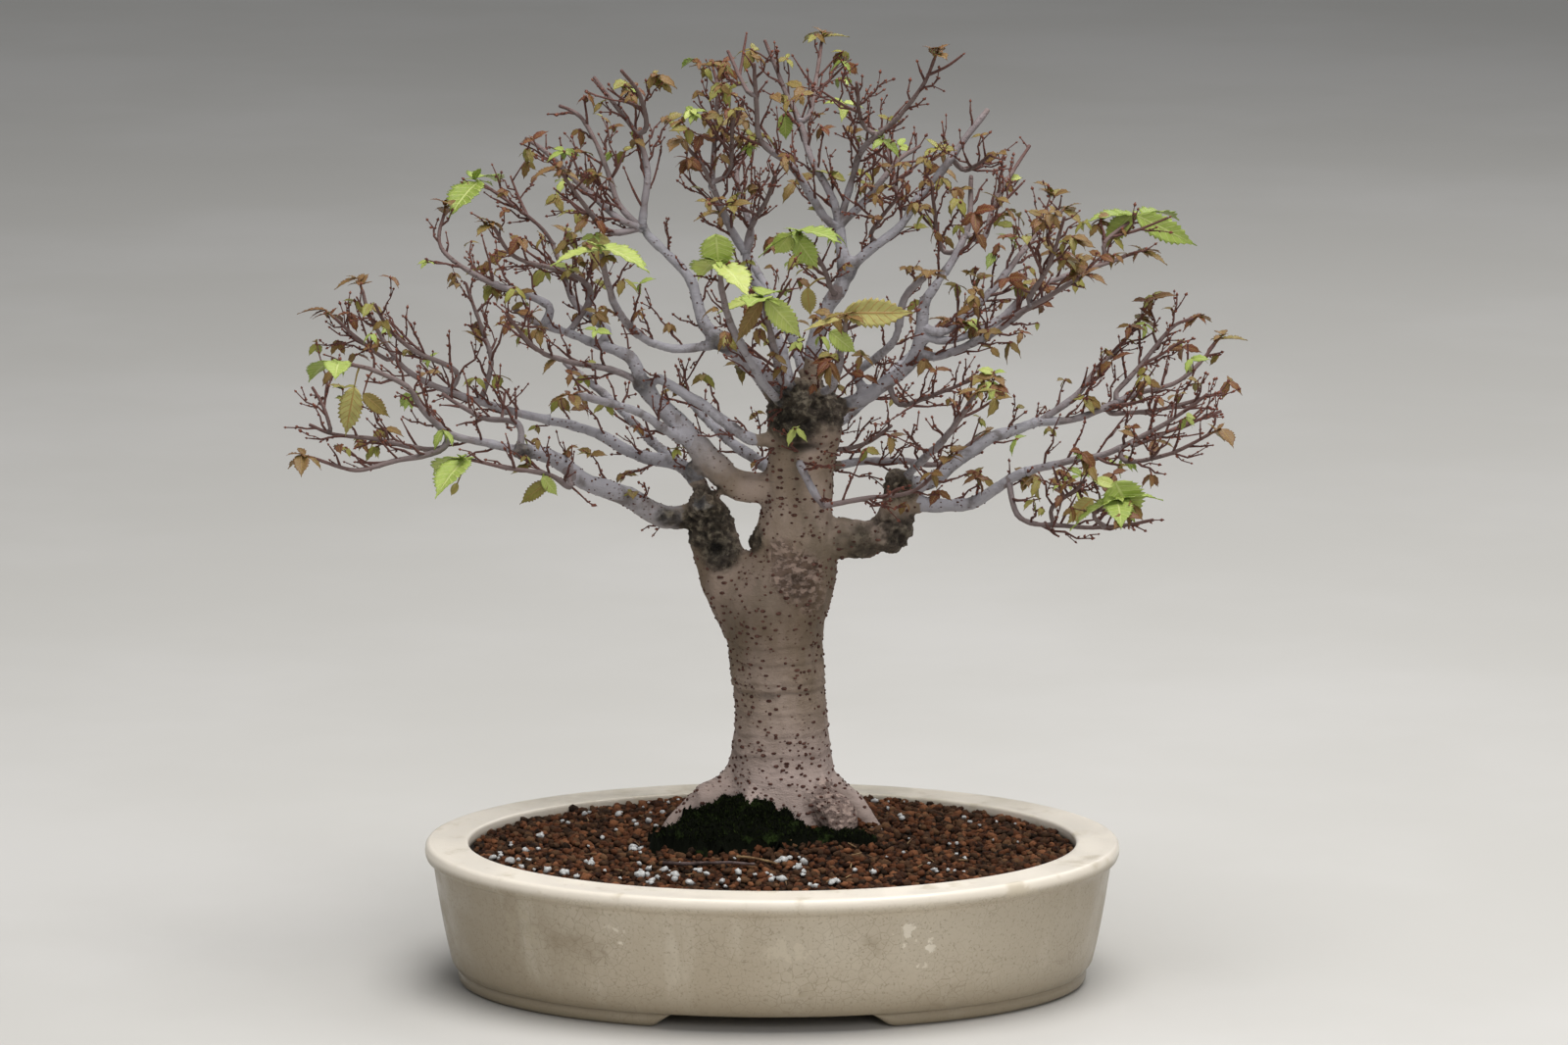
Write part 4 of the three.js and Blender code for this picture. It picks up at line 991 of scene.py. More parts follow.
# Pale crumbs as [x, y, radius], most of them in front and to the left, some of them in clusters
PALE_CRUMBS = [
    (-134, 18, 2.4), (-142, -16, 2.2), (-160, -32, 2.4), (-150, -40, 2.6), (-72, 30, 2.3), (-64, 48, 2.0),
    (-80, -24, 3.0), (-128, -62, 2.4), (-118, -68, 2.6), (-103, -50, 2.3), (-75, -78, 3.2), (-61, -70, 2.6),
    (-55, -88, 3.0), (-47, -96, 2.6), (-41, -74, 2.4), (7, -62, 3.0), (15, -72, 2.6), (6, -92, 2.9),
    (57, -76, 2.3), (75, 30, 2.0), (-19, -80, 2.4), (-28, -94, 2.2), (110, -40, 1.8), (18, -64, 2.2),
    (-90, 62, 2.2), (34, -96, 2.6), (92, -66, 1.8), (-98, 4, 2.0), (-68, -92, 2.4), (-20, 92, 2.3),
    (60, 84, 2.1), (112, 58, 2.0), (-110, 70, 2.2), (24, -104, 2.3), (-70, -66, 2.2),
]
CLUSTER_SPREAD = 5.5
LOOSE_CRUMBS = 50

# Half sizes of the ovals that crumbs and straw scraps are scattered in, and that they stay inside of
CRUMB_FIELD = (168, 112)
CRUMB_EDGE = (171, 116)
SCRAP_FIELD = (160, 108)
SCRAP_EDGE = (168, 114)
STRAW_SCRAPS = 26


def open_soil(x, y):
    """Whether a crumb would lie on bare soil, clear of the rim, the wood and the moss."""
    edge = math.hypot(x / CRUMB_EDGE[0], y / CRUMB_EDGE[1])
    return edge < 1 and not on_wood(x, y, 1) and moss_share(x, y) == 0


def make_pale_grit():
    draw = np.random.RandomState(SEEDS["grit"])
    build = Build("tint")
    rows = list(PALE_CRUMBS)
    for x, y, radius in PALE_CRUMBS:
        for _ in range(draw.randint(1, 5) if y < 0 else 1):
            rows.append((x + draw.normal(0, CLUSTER_SPREAD), y + draw.normal(0, CLUSTER_SPREAD),
                         radius * draw.uniform(0.4, 0.8)))
    for _ in range(LOOSE_CRUMBS):
        angle = draw.uniform(0, 6.28)
        reach = math.sqrt(draw.uniform(0.05, 0.92))
        x, y = CRUMB_FIELD[0] * reach * math.cos(angle), CRUMB_FIELD[1] * reach * math.sin(angle)
        rows.append((x, y, draw.uniform(0.7, 1.4)))
    rows = np.array([row for row in rows if open_soil(row[0], row[1])])
    heights = soil_height(rows[:, 0], rows[:, 1]) + 1.3
    scatter_stones(build, np.column_stack([rows[:, 0], rows[:, 1], heights]), rows[:, 2], draw,
                   rough=0.24)
    place("pale_grit", build.mesh("pale_grit"), grit_finish, "soil")


# Moss as [x, y, half length, half depth, height]: low in front, and climbing the foot at its left
MOSS_PADS = [(-19, -22, 46, 22, 10), (-14, -8, 34, 16, 15), (38, -22, 20, 9, 4)]
MOSS_BLADES = 4.5
MOSS_RINGS = 20
MOSS_SIDES = 72


def moss_share(x, y):
    """How far inside the ragged edge of the moss a place is, and the height there."""
    ragged = 1 + 0.35 * noise.noise((x / 8, y / 8, 2)) + 0.2 * noise.noise((x / 3, y / 3, 5))
    best = 0
    for px, py, half_length, half_depth, height in MOSS_PADS:
        far = math.hypot((x - px) / half_length, (y - py) / half_depth) * ragged
        if far < 1:
            top = soil_height(px, py) + height * (1 - far ** 2.4) - soil_height(x, y)
            best = max(best, top)
    return best


def moss_top(x, y):
    tuft = 2.2 * noise.noise((x / 5, y / 5, 3)) + 1.1 * noise.noise((x / 2, y / 2, 7))
    rise = moss_share(x, y)
    return soil_height(x, y) + (rise + tuft if rise > 0 else -2.5)


def make_moss():
    draw = np.random.RandomState(SEEDS["moss"])
    build = Build("tint")
    for px, py, half_length, half_depth, height in MOSS_PADS:
        rings = []
        for share in np.linspace(1.2, 0.06, MOSS_RINGS):
            ring = oval(half_length * share, half_depth * share, 0, MOSS_SIDES) + at(px, py, 0)
            for point in ring:
                point[2] = moss_top(point[0], point[1])
            rings.append(ring)
        under = rings[0] - at(0, 0, 2.5)
        bottom, peak = at(px, py, soil_height(px, py) - 4), at(px, py, moss_top(px, py))
        loft(build, [under] + rings, bottom, peak, tint=0.1)
        for _ in range(int(half_length * half_depth * MOSS_BLADES)):
            angle = draw.uniform(0, 6.28)
            reach = 1.15 * math.sqrt(draw.uniform(0, 1))
            x = px + half_length * reach * math.cos(angle)
            y = py + half_depth * reach * math.sin(angle)
            if moss_share(x, y) <= 0:
                continue
            base = at(x, y, moss_top(x, y) - 0.4)
            heading = unit(at(draw.normal(0, 0.6), draw.normal(-0.2, 0.6), 0.9))
            side = unit(np.cross(heading, at(draw.normal(), draw.normal(), 0.2))) * 0.34
            tip = base + heading * draw.uniform(1.2, 3.0)
            middle = base + heading * 0.9
            points = [base - side, base + side, middle + side * 1.2, middle - side * 1.2, tip]
            build.add(points, [[0, 1, 2, 3]], [[3, 2, 4]], tint=draw.uniform(0.1, 1))
    place("moss_pads", build.mesh("moss_pads"), moss_finish, "moss", "moss")


# What lies on the soil, as [x, y] points
STALK_RUN = [(-62, -62), (-45, -66), (-28, -67), (-10, -71)]
SHORT_STALK_RUN = [(-20, -58), (-8, -62), (3, -70)]


def make_stalks():
    def lying(run, radius, lift):
        flat = [at(x, y, soil_height(x, y) + lift) for x, y in run]
        points, _ = spline(flat, np.zeros(len(flat)), 2.0)
        wave = np.sin(np.arange(len(points)) * 0.7) * 0.15
        points[:, 2] += wave
        return points, np.linspace(radius, radius * 0.7, len(points))

    main = Build()
    points, radii = lying(STALK_RUN, 1.15, 2.6)
    tube(main, points, radii * (1 + 0.12 * np.cos(np.arange(len(radii)) * 1.9)), 10)
    place("fallen_stalk", main.mesh("fallen_stalk"), dark_stalk, "dry_stem", "stalk")
    short = Build()
    points, radii = lying(SHORT_STALK_RUN, 0.9, 2.0)
    tube(short, points, radii, 8)
    draw = np.random.RandomState(SEEDS["scraps"])
    for _ in range(STRAW_SCRAPS):
        angle, reach = draw.uniform(0, 6.28), math.sqrt(draw.uniform(0.1, 0.85))
        x, y = SCRAP_FIELD[0] * reach * math.cos(angle), SCRAP_FIELD[1] * reach * math.sin(angle)
        turn, length = draw.uniform(0, 6.28), draw.uniform(4, 11)
        ends = [(x, y), (x + length * math.cos(turn), y + length * math.sin(turn))]
        edge = max(math.hypot(px / SCRAP_EDGE[0], py / SCRAP_EDGE[1]) for px, py in ends)
        if edge > 1 or any(on_wood(px, py, 2) for px, py in ends):
            continue
        points, radii = lying(ends, 0.45, 1.9)
        tube(short, points, radii, 5)
    place("straw_scraps", short.mesh("straw_scraps"), straw, "dry_stem")


def finish_screens():
    for side in ("left", "right"):
        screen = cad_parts[f"drain_screen_{side}"]
        screen.data.materials.clear()
        screen.data.materials.append(screen_finish)


# Tree

def nearest_on(line, target):
    best = None
    for a, b in zip(line, line[1:]):
        span = b - a
        share = np.clip((target - a).dot(span) / max(span.dot(span), 1e-9), 0, 1)
        place_now = a + span * share
        if best is None or np.linalg.norm(place_now - target) < np.linalg.norm(best - target):
            best = place_now
    return best


def lengths_along(points):
    steps = np.linalg.norm(np.diff(points, axis=0), axis=1)
    return np.concatenate([[0], np.cumsum(steps)])


def place_bough(row, lines):
    name, parent, start_radius, end_radius, start_depth, end_depth, flat = row[:7]
    last = len(flat) - 1
    points = [seen(x, z, mix(start_depth, end_depth, i / last)) for i, (x, z) in enumerate(flat)]
    points.insert(0, nearest_on(lines[parent], points[0]))
    points = np.array(points)
    lengths = lengths_along(points)
    radii = mix(start_radius, end_radius, lengths / lengths[-1])
    return {"name": name, "points": points, "radii": radii, "leaf": row[7] if len(row) > 7 else None}


def twigs_of(bough, seed):
    """The part's own side twigs: [base, end, base radius]."""
    draw = random_from(seed)
    points, radii = bough["points"], bough["radii"]
    lengths = lengths_along(points)
    whole = lengths[-1]
    twigs = []
    run = whole * TWIG_START + 6
    while run < whole - 8:
        i = int(np.argmax(lengths > run))
        share = (run - lengths[i - 1]) / (lengths[i] - lengths[i - 1])
        base = mix(points[i - 1], points[i], share)
        along = unit(points[i] - points[i - 1])
        across = unit(np.cross(along, at(0, 0, 1)))
        other = np.cross(along, across)
        turn = len(twigs) * TURN_EACH + draw() * 0.9
        lean = 0.65 + draw() * 0.35
        reach = mix(TWIG_SHORTEST, TWIG_LONGEST, draw())
        heading = along * math.cos(lean) + across * math.cos(turn) * math.sin(lean) \
            + other * math.sin(turn) * math.sin(lean)
        heading[2] += TWIG_LIFT
        end = base + unit(heading) * reach
        end[2] += reach * 0.12
        twigs.append((base, end, min(1.0, mix(radii[i - 1], radii[i], share))))
        run += TWIG_SPACING
    return twigs


# Sides of the tubes that the wood is made of, and how often its skin is evened out
STEM_SIDES = 28
ROOT_SIDES = 16
BOUGH_SIDES = 14
THIN_BOUGH_SIDES = 9
TWIG_SIDES = 6
SMOOTH_PASSES = 5


def grow_lines():
    lines, thick, boughs = {}, [], []
    for name, sections in STEMS.items():
        points = np.array([seen(x, z, 0) for x, z, _ in sections])
        lines[name] = points
        thick.append((points, np.array([radius for _, _, radius in sections], float)))
    for row in BOUGHS:
        bough = place_bough(row, lines)
        lines[bough["name"]] = bough["points"]
        boughs.append(bough)
    return thick, boughs


thick_stems, all_boughs = grow_lines()
box_low = np.array(cad_box[0]) / MM - 4
box_high = np.array(cad_box[1]) / MM + 4

# Outline of the crown from the front, as [x, z] points along its top and along its underside
CROWN_TOP = [
    (-280, 322), (-272, 352), (-255, 389), (-216, 432), (-188, 466), (-146, 492), (-105, 524), (-82, 534),
    (-27, 538), (-2, 548), (26, 549), (46, 538), (87, 538), (122, 509), (147, 488), (174, 458), (210, 452),
    (243, 430), (250, 390), (264, 358), (276, 330),
]
CROWN_UNDER = [
    (-280, 318), (-262, 298), (-177, 288), (-105, 268), (-60, 258), (60, 258), (118, 260), (213, 256),
    (240, 300), (276, 326),
]


def inside_crown(point):
    """Whether a point is in the part's box and, seen from the front, within the crown."""
    if not (np.all(point > box_low) and np.all(point < box_high)):
        return False
    scale = 1 + point[1] / VIEW_DISTANCE
    x = VIEW_SIDE + (point[0] - VIEW_SIDE) / scale
    z = VIEW_HEIGHT + (point[2] - VIEW_HEIGHT) / scale
    return bool(np.interp(x, *zip(*CROWN_UNDER)) < z < np.interp(x, *zip(*CROWN_TOP)))


def wander(points, radii, step, amount, seed):
    """A smooth run through points that wanders a little and swells at its joints."""
    run, widths = spline(points, radii, step)
    drift = np.array([noise.noise_vector((seed * 7.3, k * step / 14.0, 1.7)) for k in range(len(run))])
    fade = np.minimum(np.arange(len(run)), 6) / 6.0
    run = run + drift * (amount * (0.6 + widths * 0.25) * fade)[:, None]
    swell = np.array([noise.noise((seed * 3.1, k * step / 6.0, 9.0)) for k in range(len(run))])
    return run, widths * (1 + 0.2 * swell)


def collar(run, radii, reach):
    """Wood is thicker where it leaves its parent."""
    return radii * (1 + 0.35 * np.exp(-lengths_along(run) / max(reach, 0.5)))


def foot_line():
    foot = np.array([at(TRUNK_SIDE, TREE_DEPTH, z) for z, _ in FOOT_LEVELS])
    return spline(foot, [radius for _, radius in FOOT_LEVELS], 4.0)


def grown_together():
    """Trunk, roots, knobs and thick boughs under one closed skin."""
    solid = Build()
    for points, radii in thick_stems:
        run, widths = spline(points, radii, 4.0)
        tube(solid, run, widths, STEM_SIDES)
    run, widths = foot_line()
    tube(solid, run, widths, STEM_SIDES)
    for i, root in enumerate(ROOTS):
        root = np.array(root, float)
        run, widths = wander(root[:, :3], root[:, 3], 3.0, 0.8, 40 + i)
        tube(solid, run, widths, ROOT_SIDES)
    for x, z, depth, radius in KNOBS:
        knob = BALL_POINTS * radius * 0.97 + seen(x, z, depth)
        solid.add(knob, BALL_FACES)
    for i, bough in enumerate(all_boughs):
        if bough["radii"][0] < 3.0:
            continue
        run, widths = wander(bough["points"], bough["radii"], 3.0, 0.5, i)
        kept = max(3, int((widths > THIN_WOOD * 0.95).sum()))
        tube(solid, run[:kept], collar(run, widths, bough["radii"][0])[:kept], BOUGH_SIDES)
    core = bpy.data.objects.new("trunk_core", solid.mesh("trunk_core"))
    bpy.context.scene.collection.objects.link(core)
    skin = core.modifiers.new("skin", "REMESH")
    skin.mode = "VOXEL"
    skin.voxel_size = BARK_VOXEL * MM
    skin.use_smooth_shade = True
    bpy.context.view_layer.update()
    mesh = bpy.data.meshes.new_from_object(core.evaluated_get(bpy.context.evaluated_depsgraph_get()))
    bpy.data.objects.remove(core)
    mesh.name = "trunk_and_boughs"
    return mesh


def evened_out(mesh, points, thickness):
    """Points of a skin moved towards their neighbours, less on thin wood."""
    count = len(points)
    edges = np.empty(len(mesh.edges) * 2, np.int32)
    mesh.edges.foreach_get("vertices", edges)
    edges = edges.reshape(-1, 2)
    degree = np.bincount(edges.ravel(), minlength=count)[:, None]
    for _ in range(SMOOTH_PASSES):
        total = np.zeros_like(points)
        for column in range(3):
            total[:, column] = (np.bincount(edges[:, 0], points[edges[:, 1], column], count)
                                + np.bincount(edges[:, 1], points[edges[:, 0], column], count))
        share = np.clip(thickness / 8, 0.25, 0.6)[:, None]
        points = mix(points, total / np.maximum(degree, 1), share)
    return points


def make_trunk():
    """Trunk, roots and thick boughs with the relief and the marks of their bark, painted shade among the
    marks.
    """
    mesh = grown_together()
    points = np.empty(len(mesh.vertices) * 3, np.float32)
    mesh.vertices.foreach_get("co", points)
    points = points.reshape(-1, 3).astype(float) / MM
    thickness = wood_thickness(points)
    points = evened_out(mesh, points, thickness)
    mesh.vertices.foreach_set("co", (points * MM).ravel().astype(np.float32))
    mesh.update()
    normals = np.empty(len(mesh.vertices) * 3, np.float32)
    mesh.vertex_normals.foreach_get("vector", normals)
    normals = normals.reshape(-1, 3).astype(float)
    lift, shade, burl_and_shade, flake = bark_relief(points, normals, thickness)
    points += normals * lift[:, None]
    mesh.vertices.foreach_set("co", (points * MM).ravel().astype(np.float32))
    for mark, values in (("thick", thickness), ("shade", shade), ("burl_and_shade", burl_and_shade), ("flake", flake)):
        layer = mesh.attributes.new(mark, "FLOAT", "POINT")
        layer.data.foreach_set("value", values.astype(np.float32))
    mesh.update()
    place("trunk_and_boughs", mesh, bark, "bark", "tree")
    return points, normals, np.where(np.maximum(burl_and_shade, shade) > 0.35, 0, thickness)


def nearest_wood(points, lines):
    """How far each point is from the nearest sample of some lines of wood, and the radius there."""
    samples = np.concatenate([run for run, _ in lines])
    radii = np.concatenate([width for _, width in lines])
    tree = kdtree.KDTree(len(samples))
    for i, sample in enumerate(samples):
        tree.insert(sample, i)
    tree.balance()
    found = [tree.find(point) for point in points]
    return np.array([far for _, _, far in found]), radii[[i for _, i, _ in found]]


STEM_THICKNESS = 18


def wood_thickness(points):
    """Radius of the wood under each point: of the stem or root it lies on, else of the nearest bough."""
    stems = [spline(line, radii, 5.0) for line, radii in thick_stems] + [foot_line()]
    for root in ROOTS:
        root = np.array(root, float)
        stems.append(spline(root[:, :3], root[:, 3], 3.0))
    apart = np.full(len(points), np.inf)
    for stem in stems:
        far, radius = nearest_wood(points, [stem])
        apart = np.minimum(apart, far / radius)
    _, bough = nearest_wood(points, [spline(b["points"], b["radii"], 5.0) for b in all_boughs])
    return mix(bough, STEM_THICKNESS, 1 - smooth_step(1.25, 1.6, apart))


# Hollows of the bark and one dark scab: [x, z, half width, half height, depth, darkness], seen from the
# front; the darkness is painted shade, at the scab its own colour
HOLLOWS = [
    (-32, 257, 8, 5.5, 5.5, 0.95), (18, 317, 12, 3, 3, 0.85), (20, 328, 4, 9, 2.5, 0.7),
    (30, 334, 5, 4, 2.5, 0.7), (8, 334, 5, 4, 3, 0.7), (-42, 284, 4, 3, 2, 0.7), (56, 255, 7, 3, 2, 0.5),
    (74, 262, 4, 5, 2, 0.6), (12, 243, 7, 2, 1.6, 0.5), (-12, 262, 3, 5, 2, 0.6),
    (-3, 173, 7, 2.5, 0.3, 0.45), (-52, 268, 5, 5, 2.5, 0.7),
]
# Rings round the trunk: [height, half width, depth]
GIRDLES = [(169.5, 1.1, 0.8), (174, 0.9, 0.5), (186, 0.9, 0.5), (156, 0.9, 0.3), (144, 0.9, 0.4),
           (132, 0.9, 0.5), (196, 0.9, 0.4)]

# Round scars of cut boughs: [x, z, radius, how far the rim stands out, darkness of the painted shade in its
# grooves]
SCARS = [(16, 236, 8.5, 1.3, 0.5), (40, 260, 7.0, 1.3, 0.3), (61, 264, 5.0, 1.0, 0.3)]

# Dark rough burls, their dark crust partly painted shade: [x, z, depth, radius, how dark and rough]
BURLS = [
    (14, 334, -10, 19, 0.85), (30, 336, -4, 15, 0.8), (-37, 268, -6, 17, 0.85), (-40, 284, -6, 11, 0.7),
    (-58, 272, -8, 9, 0.75), (70, 264, 0, 16, 0.75), (72, 290, 0, 11, 0.8), (-9, 259, -6, 8, 0.7),
    (-74, 350, -8, 7, 0.5), (-28, 374, -14, 8, 0.5), (43, 415, 4, 7, 0.4), (-144, 311, -30, 7, 0.5),
    (-44, 300, 0, 8, 0.5), (-74, 441, 0, 6, 0.4), (52, 258, -4, 11, 0.5), (-30, 254, -8, 13, 0.85),
]

# Bark that flakes to a paler, redder layer: [x, z, depth, radius, share]
FLAKES = [(14, 238, -16, 15, 0.9), (6, 252, -14, 9, 0.7), (38, 104, -22, 17, 0.95), (42, 90, -32, 15, 0.95),
          (-38, 112, 0, 15, 0.5), (22, 225, -16, 10, 0.5)]


def within(points, x, z, depth, radius):
    far = np.linalg.norm(points - seen(x, z, depth), axis=1) / radius
    return 1 - smooth_step(0.7, 1.25, far)


def bark_relief(points, normals, thickness):
    """Height of the bark over its skin, the painted shade of its hollows, creases and grooves, its burls
    and its flaking places.
    """
    body = smooth_step(3, 16, thickness)
    lift = np.zeros(len(points))
    shade = np.zeros(len(points))
    burl_and_shade = np.zeros(len(points))
    flake = np.zeros(len(points))
    for x, z, depth, radius, share in BURLS:
        burl_and_shade = np.maximum(burl_and_shade, share * within(points, x, z, depth, radius))
    for x, z, depth, radius, share in FLAKES:
        flake = np.maximum(flake, share * within(points, x, z, depth, radius))
    for i, (x, y, z) in enumerate(points):
        lump = noise.noise((x / 17, y / 17, z / 24)) * 1.5 + noise.noise((x / 7, y / 7, z / 9)) * 0.6
        flute = noise.noise((x / 9, y / 9, z / 55)) * 1.2
        fine = noise.noise((x / 2.6, y / 2.6, z / 2.2)) * 0.32
        lift[i] = body[i] * (lump + flute) + (0.35 + 0.65 * body[i]) * fine
        rough = max(burl_and_shade[i], flake[i] * 0.4)
        if rough > 0.02:
            fold = abs(noise.noise((x / 5.5, y / 5.5, z / 4.5)))
            crumb = noise.noise((x / 2.2, y / 2.2, z / 2.0))
            lift[i] += rough * (2.4 - 8.0 * fold + 1.3 * crumb) * (0.35 + 0.65 * body[i])
            # Painted shade in the creases of the burls
            shade[i] = max(shade[i], rough * min(max(0.8 * (fold - 0.2) * 5, 0), 0.75))
        if body[i] > 0.6 and z < 210:
            flaw = noise.noise((x / 12, y / 12, 5)) * 2.2
            for level, width, depth in GIRDLES:
                off = (z - level - flaw) / width
                if abs(off) < 3:
                    groove = math.exp(-off * off)
                    lift[i] -= depth * groove
                    # Painted shade in the groove
                    shade[i] = max(shade[i], groove * depth * 0.3)
                lip = (z - level - flaw - width * 2.0) / width
                if abs(lip) < 3:
                    lift[i] += 1.2 * depth * math.exp(-lip * lip)
    front = normals[:, 1] < 0.15
    for x, z, half_width, half_height, depth, dark in HOLLOWS:
        centre = seen(x, z, 0)
        far = np.hypot((points[:, 0] - centre[0]) / half_width, (points[:, 2] - centre[2]) / half_height)
        dip = np.exp(-far * far) * front
        lift -= depth * dip
        # Painted shade in the hollows
        shade = np.maximum(shade, dark * np.clip(dip * 1.35 - 0.12, 0, 1))
    for x, z, radius, stand, dark in SCARS:
        centre = seen(x, z, 0)
        far = np.hypot(points[:, 0] - centre[0], points[:, 2] - centre[2])
        near = front * (thickness > 8) * (far < radius * 2)
        lift += stand * np.exp(-((far - radius) / 1.7) ** 2) * near
        lift -= 0.5 * stand * (far < radius) * near
        # Painted shade in the grooves round each scar
        ragged = far + points[:, 2] % 1.7
        outer = np.exp(-((ragged - radius + 2.2) / 1.1) ** 2)
        inner = 0.5 * np.exp(-((ragged - radius * 0.45) / 0.8) ** 2)
        shade = np.maximum(shade, (outer + inner) * near * dark)
        burl_and_shade *= 1 - 0.6 * (far < radius) * near
    return lift, np.clip(shade, 0, 1), burl_and_shade, flake


MOST_LENTICELS = 1900
LENTICEL_CELL = 3.4
LENTICEL_SIDES = 6
LOWEST_LENTICEL = 96
LENTICEL_SIZES = (0.55, 1.25)
LENTICEL_STRETCH = (1.0, 1.9)


def make_lenticels(points, normals, thickness):
    """Small raised dark pores, flat against the bark and a little wider than high."""
    draw = np.random.RandomState(SEEDS["lenticels"])
    build = Build()
    chosen = draw.permutation(len(points))
    taken = []
    cells = set()
    for i in chosen:
        if thickness[i] < 3 or points[i][2] < LOWEST_LENTICEL or len(taken) >= MOST_LENTICELS:
            continue
        cell = tuple(np.floor(points[i] / LENTICEL_CELL).astype(int))
        patch = noise.noise(tuple(points[i] / 22)) + (0.25 if thickness[i] > 15 else -0.1)
        if cell in cells or patch < draw.uniform(-0.5, 0.4):
            continue
        cells.add(cell)
        taken.append(i)
    ring = 2 * math.pi * np.arange(LENTICEL_SIDES) / LENTICEL_SIDES
    for i in taken:
        normal = unit(normals[i])
        side = unit(np.cross(at(0, 0, 1), normal) + at(1e-4, 0, 0))
        up = np.cross(normal, side)
        size = draw.uniform(*LENTICEL_SIZES) * (1 if thickness[i] > 12 else 0.6)
        wide = size * draw.uniform(*LENTICEL_STRETCH)
        low = points[i] - normal * 0.25
        skirt = [low + side * wide * math.cos(a) + up * size * math.sin(a) for a in ring]
        crown = [low + normal * (0.35 + size * 0.4) + side * wide * 0.6 * math.cos(a)
                 + up * size * 0.6 * math.sin(a) for a in ring]
        loft(build, [skirt, crown], low, low + normal * (0.45 + size * 0.5))
    place("lenticels", build.mesh("lenticels"), lenticel_finish, "bark")


def add_bud(build, base, heading, size, **marks):
    """A pointed bud of two scales."""
    side = unit(np.cross(heading, at(0.3, 0.5, 0.8)))
    other = np.cross(heading, side)
    middle = base + heading * size * 0.45
    wide = size * 0.34
    points = [base - heading * size * 0.1, middle + side * wide, middle + other * wide,
              middle - side * wide, middle - other * wide, base + heading * size]
    faces = [[0, 2, 1], [0, 3, 2], [0, 4, 3], [0, 1, 4], [5, 1, 2], [5, 2, 3], [5, 3, 4], [5, 4, 1]]
    build.add(points, faces, **marks)


# Side twigs: lengths, how much longer they are at the start of a bough, lean and where the first one is
TWIG_LENGTHS = (8, 20)
TWIG_EXTRA = 22
TWIG_LEANS = (0.5, 1.0)
FIRST_TWIG = (6, 12)
TWIG_RADIUS = 0.85
TWIG_THINNEST = 0.3
TWIG_TAPER = 0.45

# How far apart side twigs are on thin boughs, on thick boughs and on the part's own twigs
THIN_SPACING = 8.0
THICK_SPACING = 13.0
TWIG_SPACINGS = 9.0

# Zigzag of a twig: length between joints, how far it turns at each, and the forks of long twigs
JOINT_SPACING = (4.5, 7.5)
SWAYS = (0.14, 0.3)
FORKING_LENGTH = 13
FORK_SHARE = 0.5
FORK_LENGTHS = (5, 13)
BUD_SIZES = (1.5, 2.9)
END_BUD_SIZES = (2.0, 3.4)
OWN_BUD_SIZE = 2.4


class Twigs:
    """Fine wood, its buds, and the tips that may carry small leaves."""

    def __init__(self):
        self.wood = Build("thick", "shade")
        self.buds = Build()
        self.tips = []
        self.draw = np.random.RandomState(SEEDS["twigs"])

    def zigzag(self, base, heading, length, radius, level):
        draw = self.draw
        joints = max(2, int(round(length / draw.uniform(*JOINT_SPACING))))
        step = length / joints
        heading = unit(heading)
        side = unit(np.cross(heading, at(draw.normal(), draw.normal(), draw.normal())))
        path = [base]
        sway = draw.uniform(*SWAYS)
        for k in range(joints):
            turn = sway if k % 2 else -sway
            heading = unit(heading + at(0, 0, 0.05) + draw.normal(0, 0.05, 3))
            path.append(path[-1] + unit(heading + side * turn) * step)
        path = np.array(path)
        if not inside_crown(path[-1]):
            return
        radii = np.linspace(radius, max(TWIG_THINNEST, radius * TWIG_TAPER), len(path))
        tube(self.wood, path, radii * draw.uniform(0.8, 1.25, len(path)), 5 if level == 1 else 4)
        for k in range(1, len(path) - 1):
            out = unit(unit(path[k] - path[k - 1]) * 0.6 + side * (1 if k % 2 else -1))
            add_bud(self.buds, path[k] + out * radii[k] * 0.5, out, draw.uniform(*BUD_SIZES))
            if level == 1 and length > FORKING_LENGTH and draw.uniform() < FORK_SHARE:
                onward = unit(path[k + 1] - path[k]) + out * 0.8
                self.zigzag(path[k], onward, draw.uniform(*FORK_LENGTHS), radii[k] * 0.7, 2)
        tip = unit(path[-1] - path[-2])
        add_bud(self.buds, path[-1], tip, draw.uniform(*END_BUD_SIZES))
        self.tips.append((path[-1], tip))

    def side_twigs(self, run, radii, spacing):
        """Twigs that leave a bough left and right in turn, longer where it is thicker."""
        draw = self.draw
        lengths = lengths_along(run)
        whole = lengths[-1]
        where = draw.uniform(*FIRST_TWIG) + radii[0]
        turn_to = 1
        while where < whole - 3:
            i = min(int(np.searchsorted(lengths, where)), len(run) - 1)
            along = unit(run[i] - run[i - 1])
            across = unit(np.cross(along, at(0, 1, 0.25)))
            lean = draw.uniform(*TWIG_LEANS)
            round_turn = draw.normal(0, 0.75)
            other = np.cross(along, across)
            out = across * turn_to * math.cos(round_turn) + other * math.sin(round_turn)
            heading = along * math.cos(lean) + out * math.sin(lean) + at(0, 0, 0.3)
            left = 1 - where / whole
            length = draw.uniform(*TWIG_LENGTHS) + TWIG_EXTRA * left * draw.uniform(0.3, 1)
            self.zigzag(run[i], heading, length, min(TWIG_RADIUS, radii[i] * 0.7), 1)
            turn_to = -turn_to
            where += draw.uniform(0.6, 1.5) * spacing


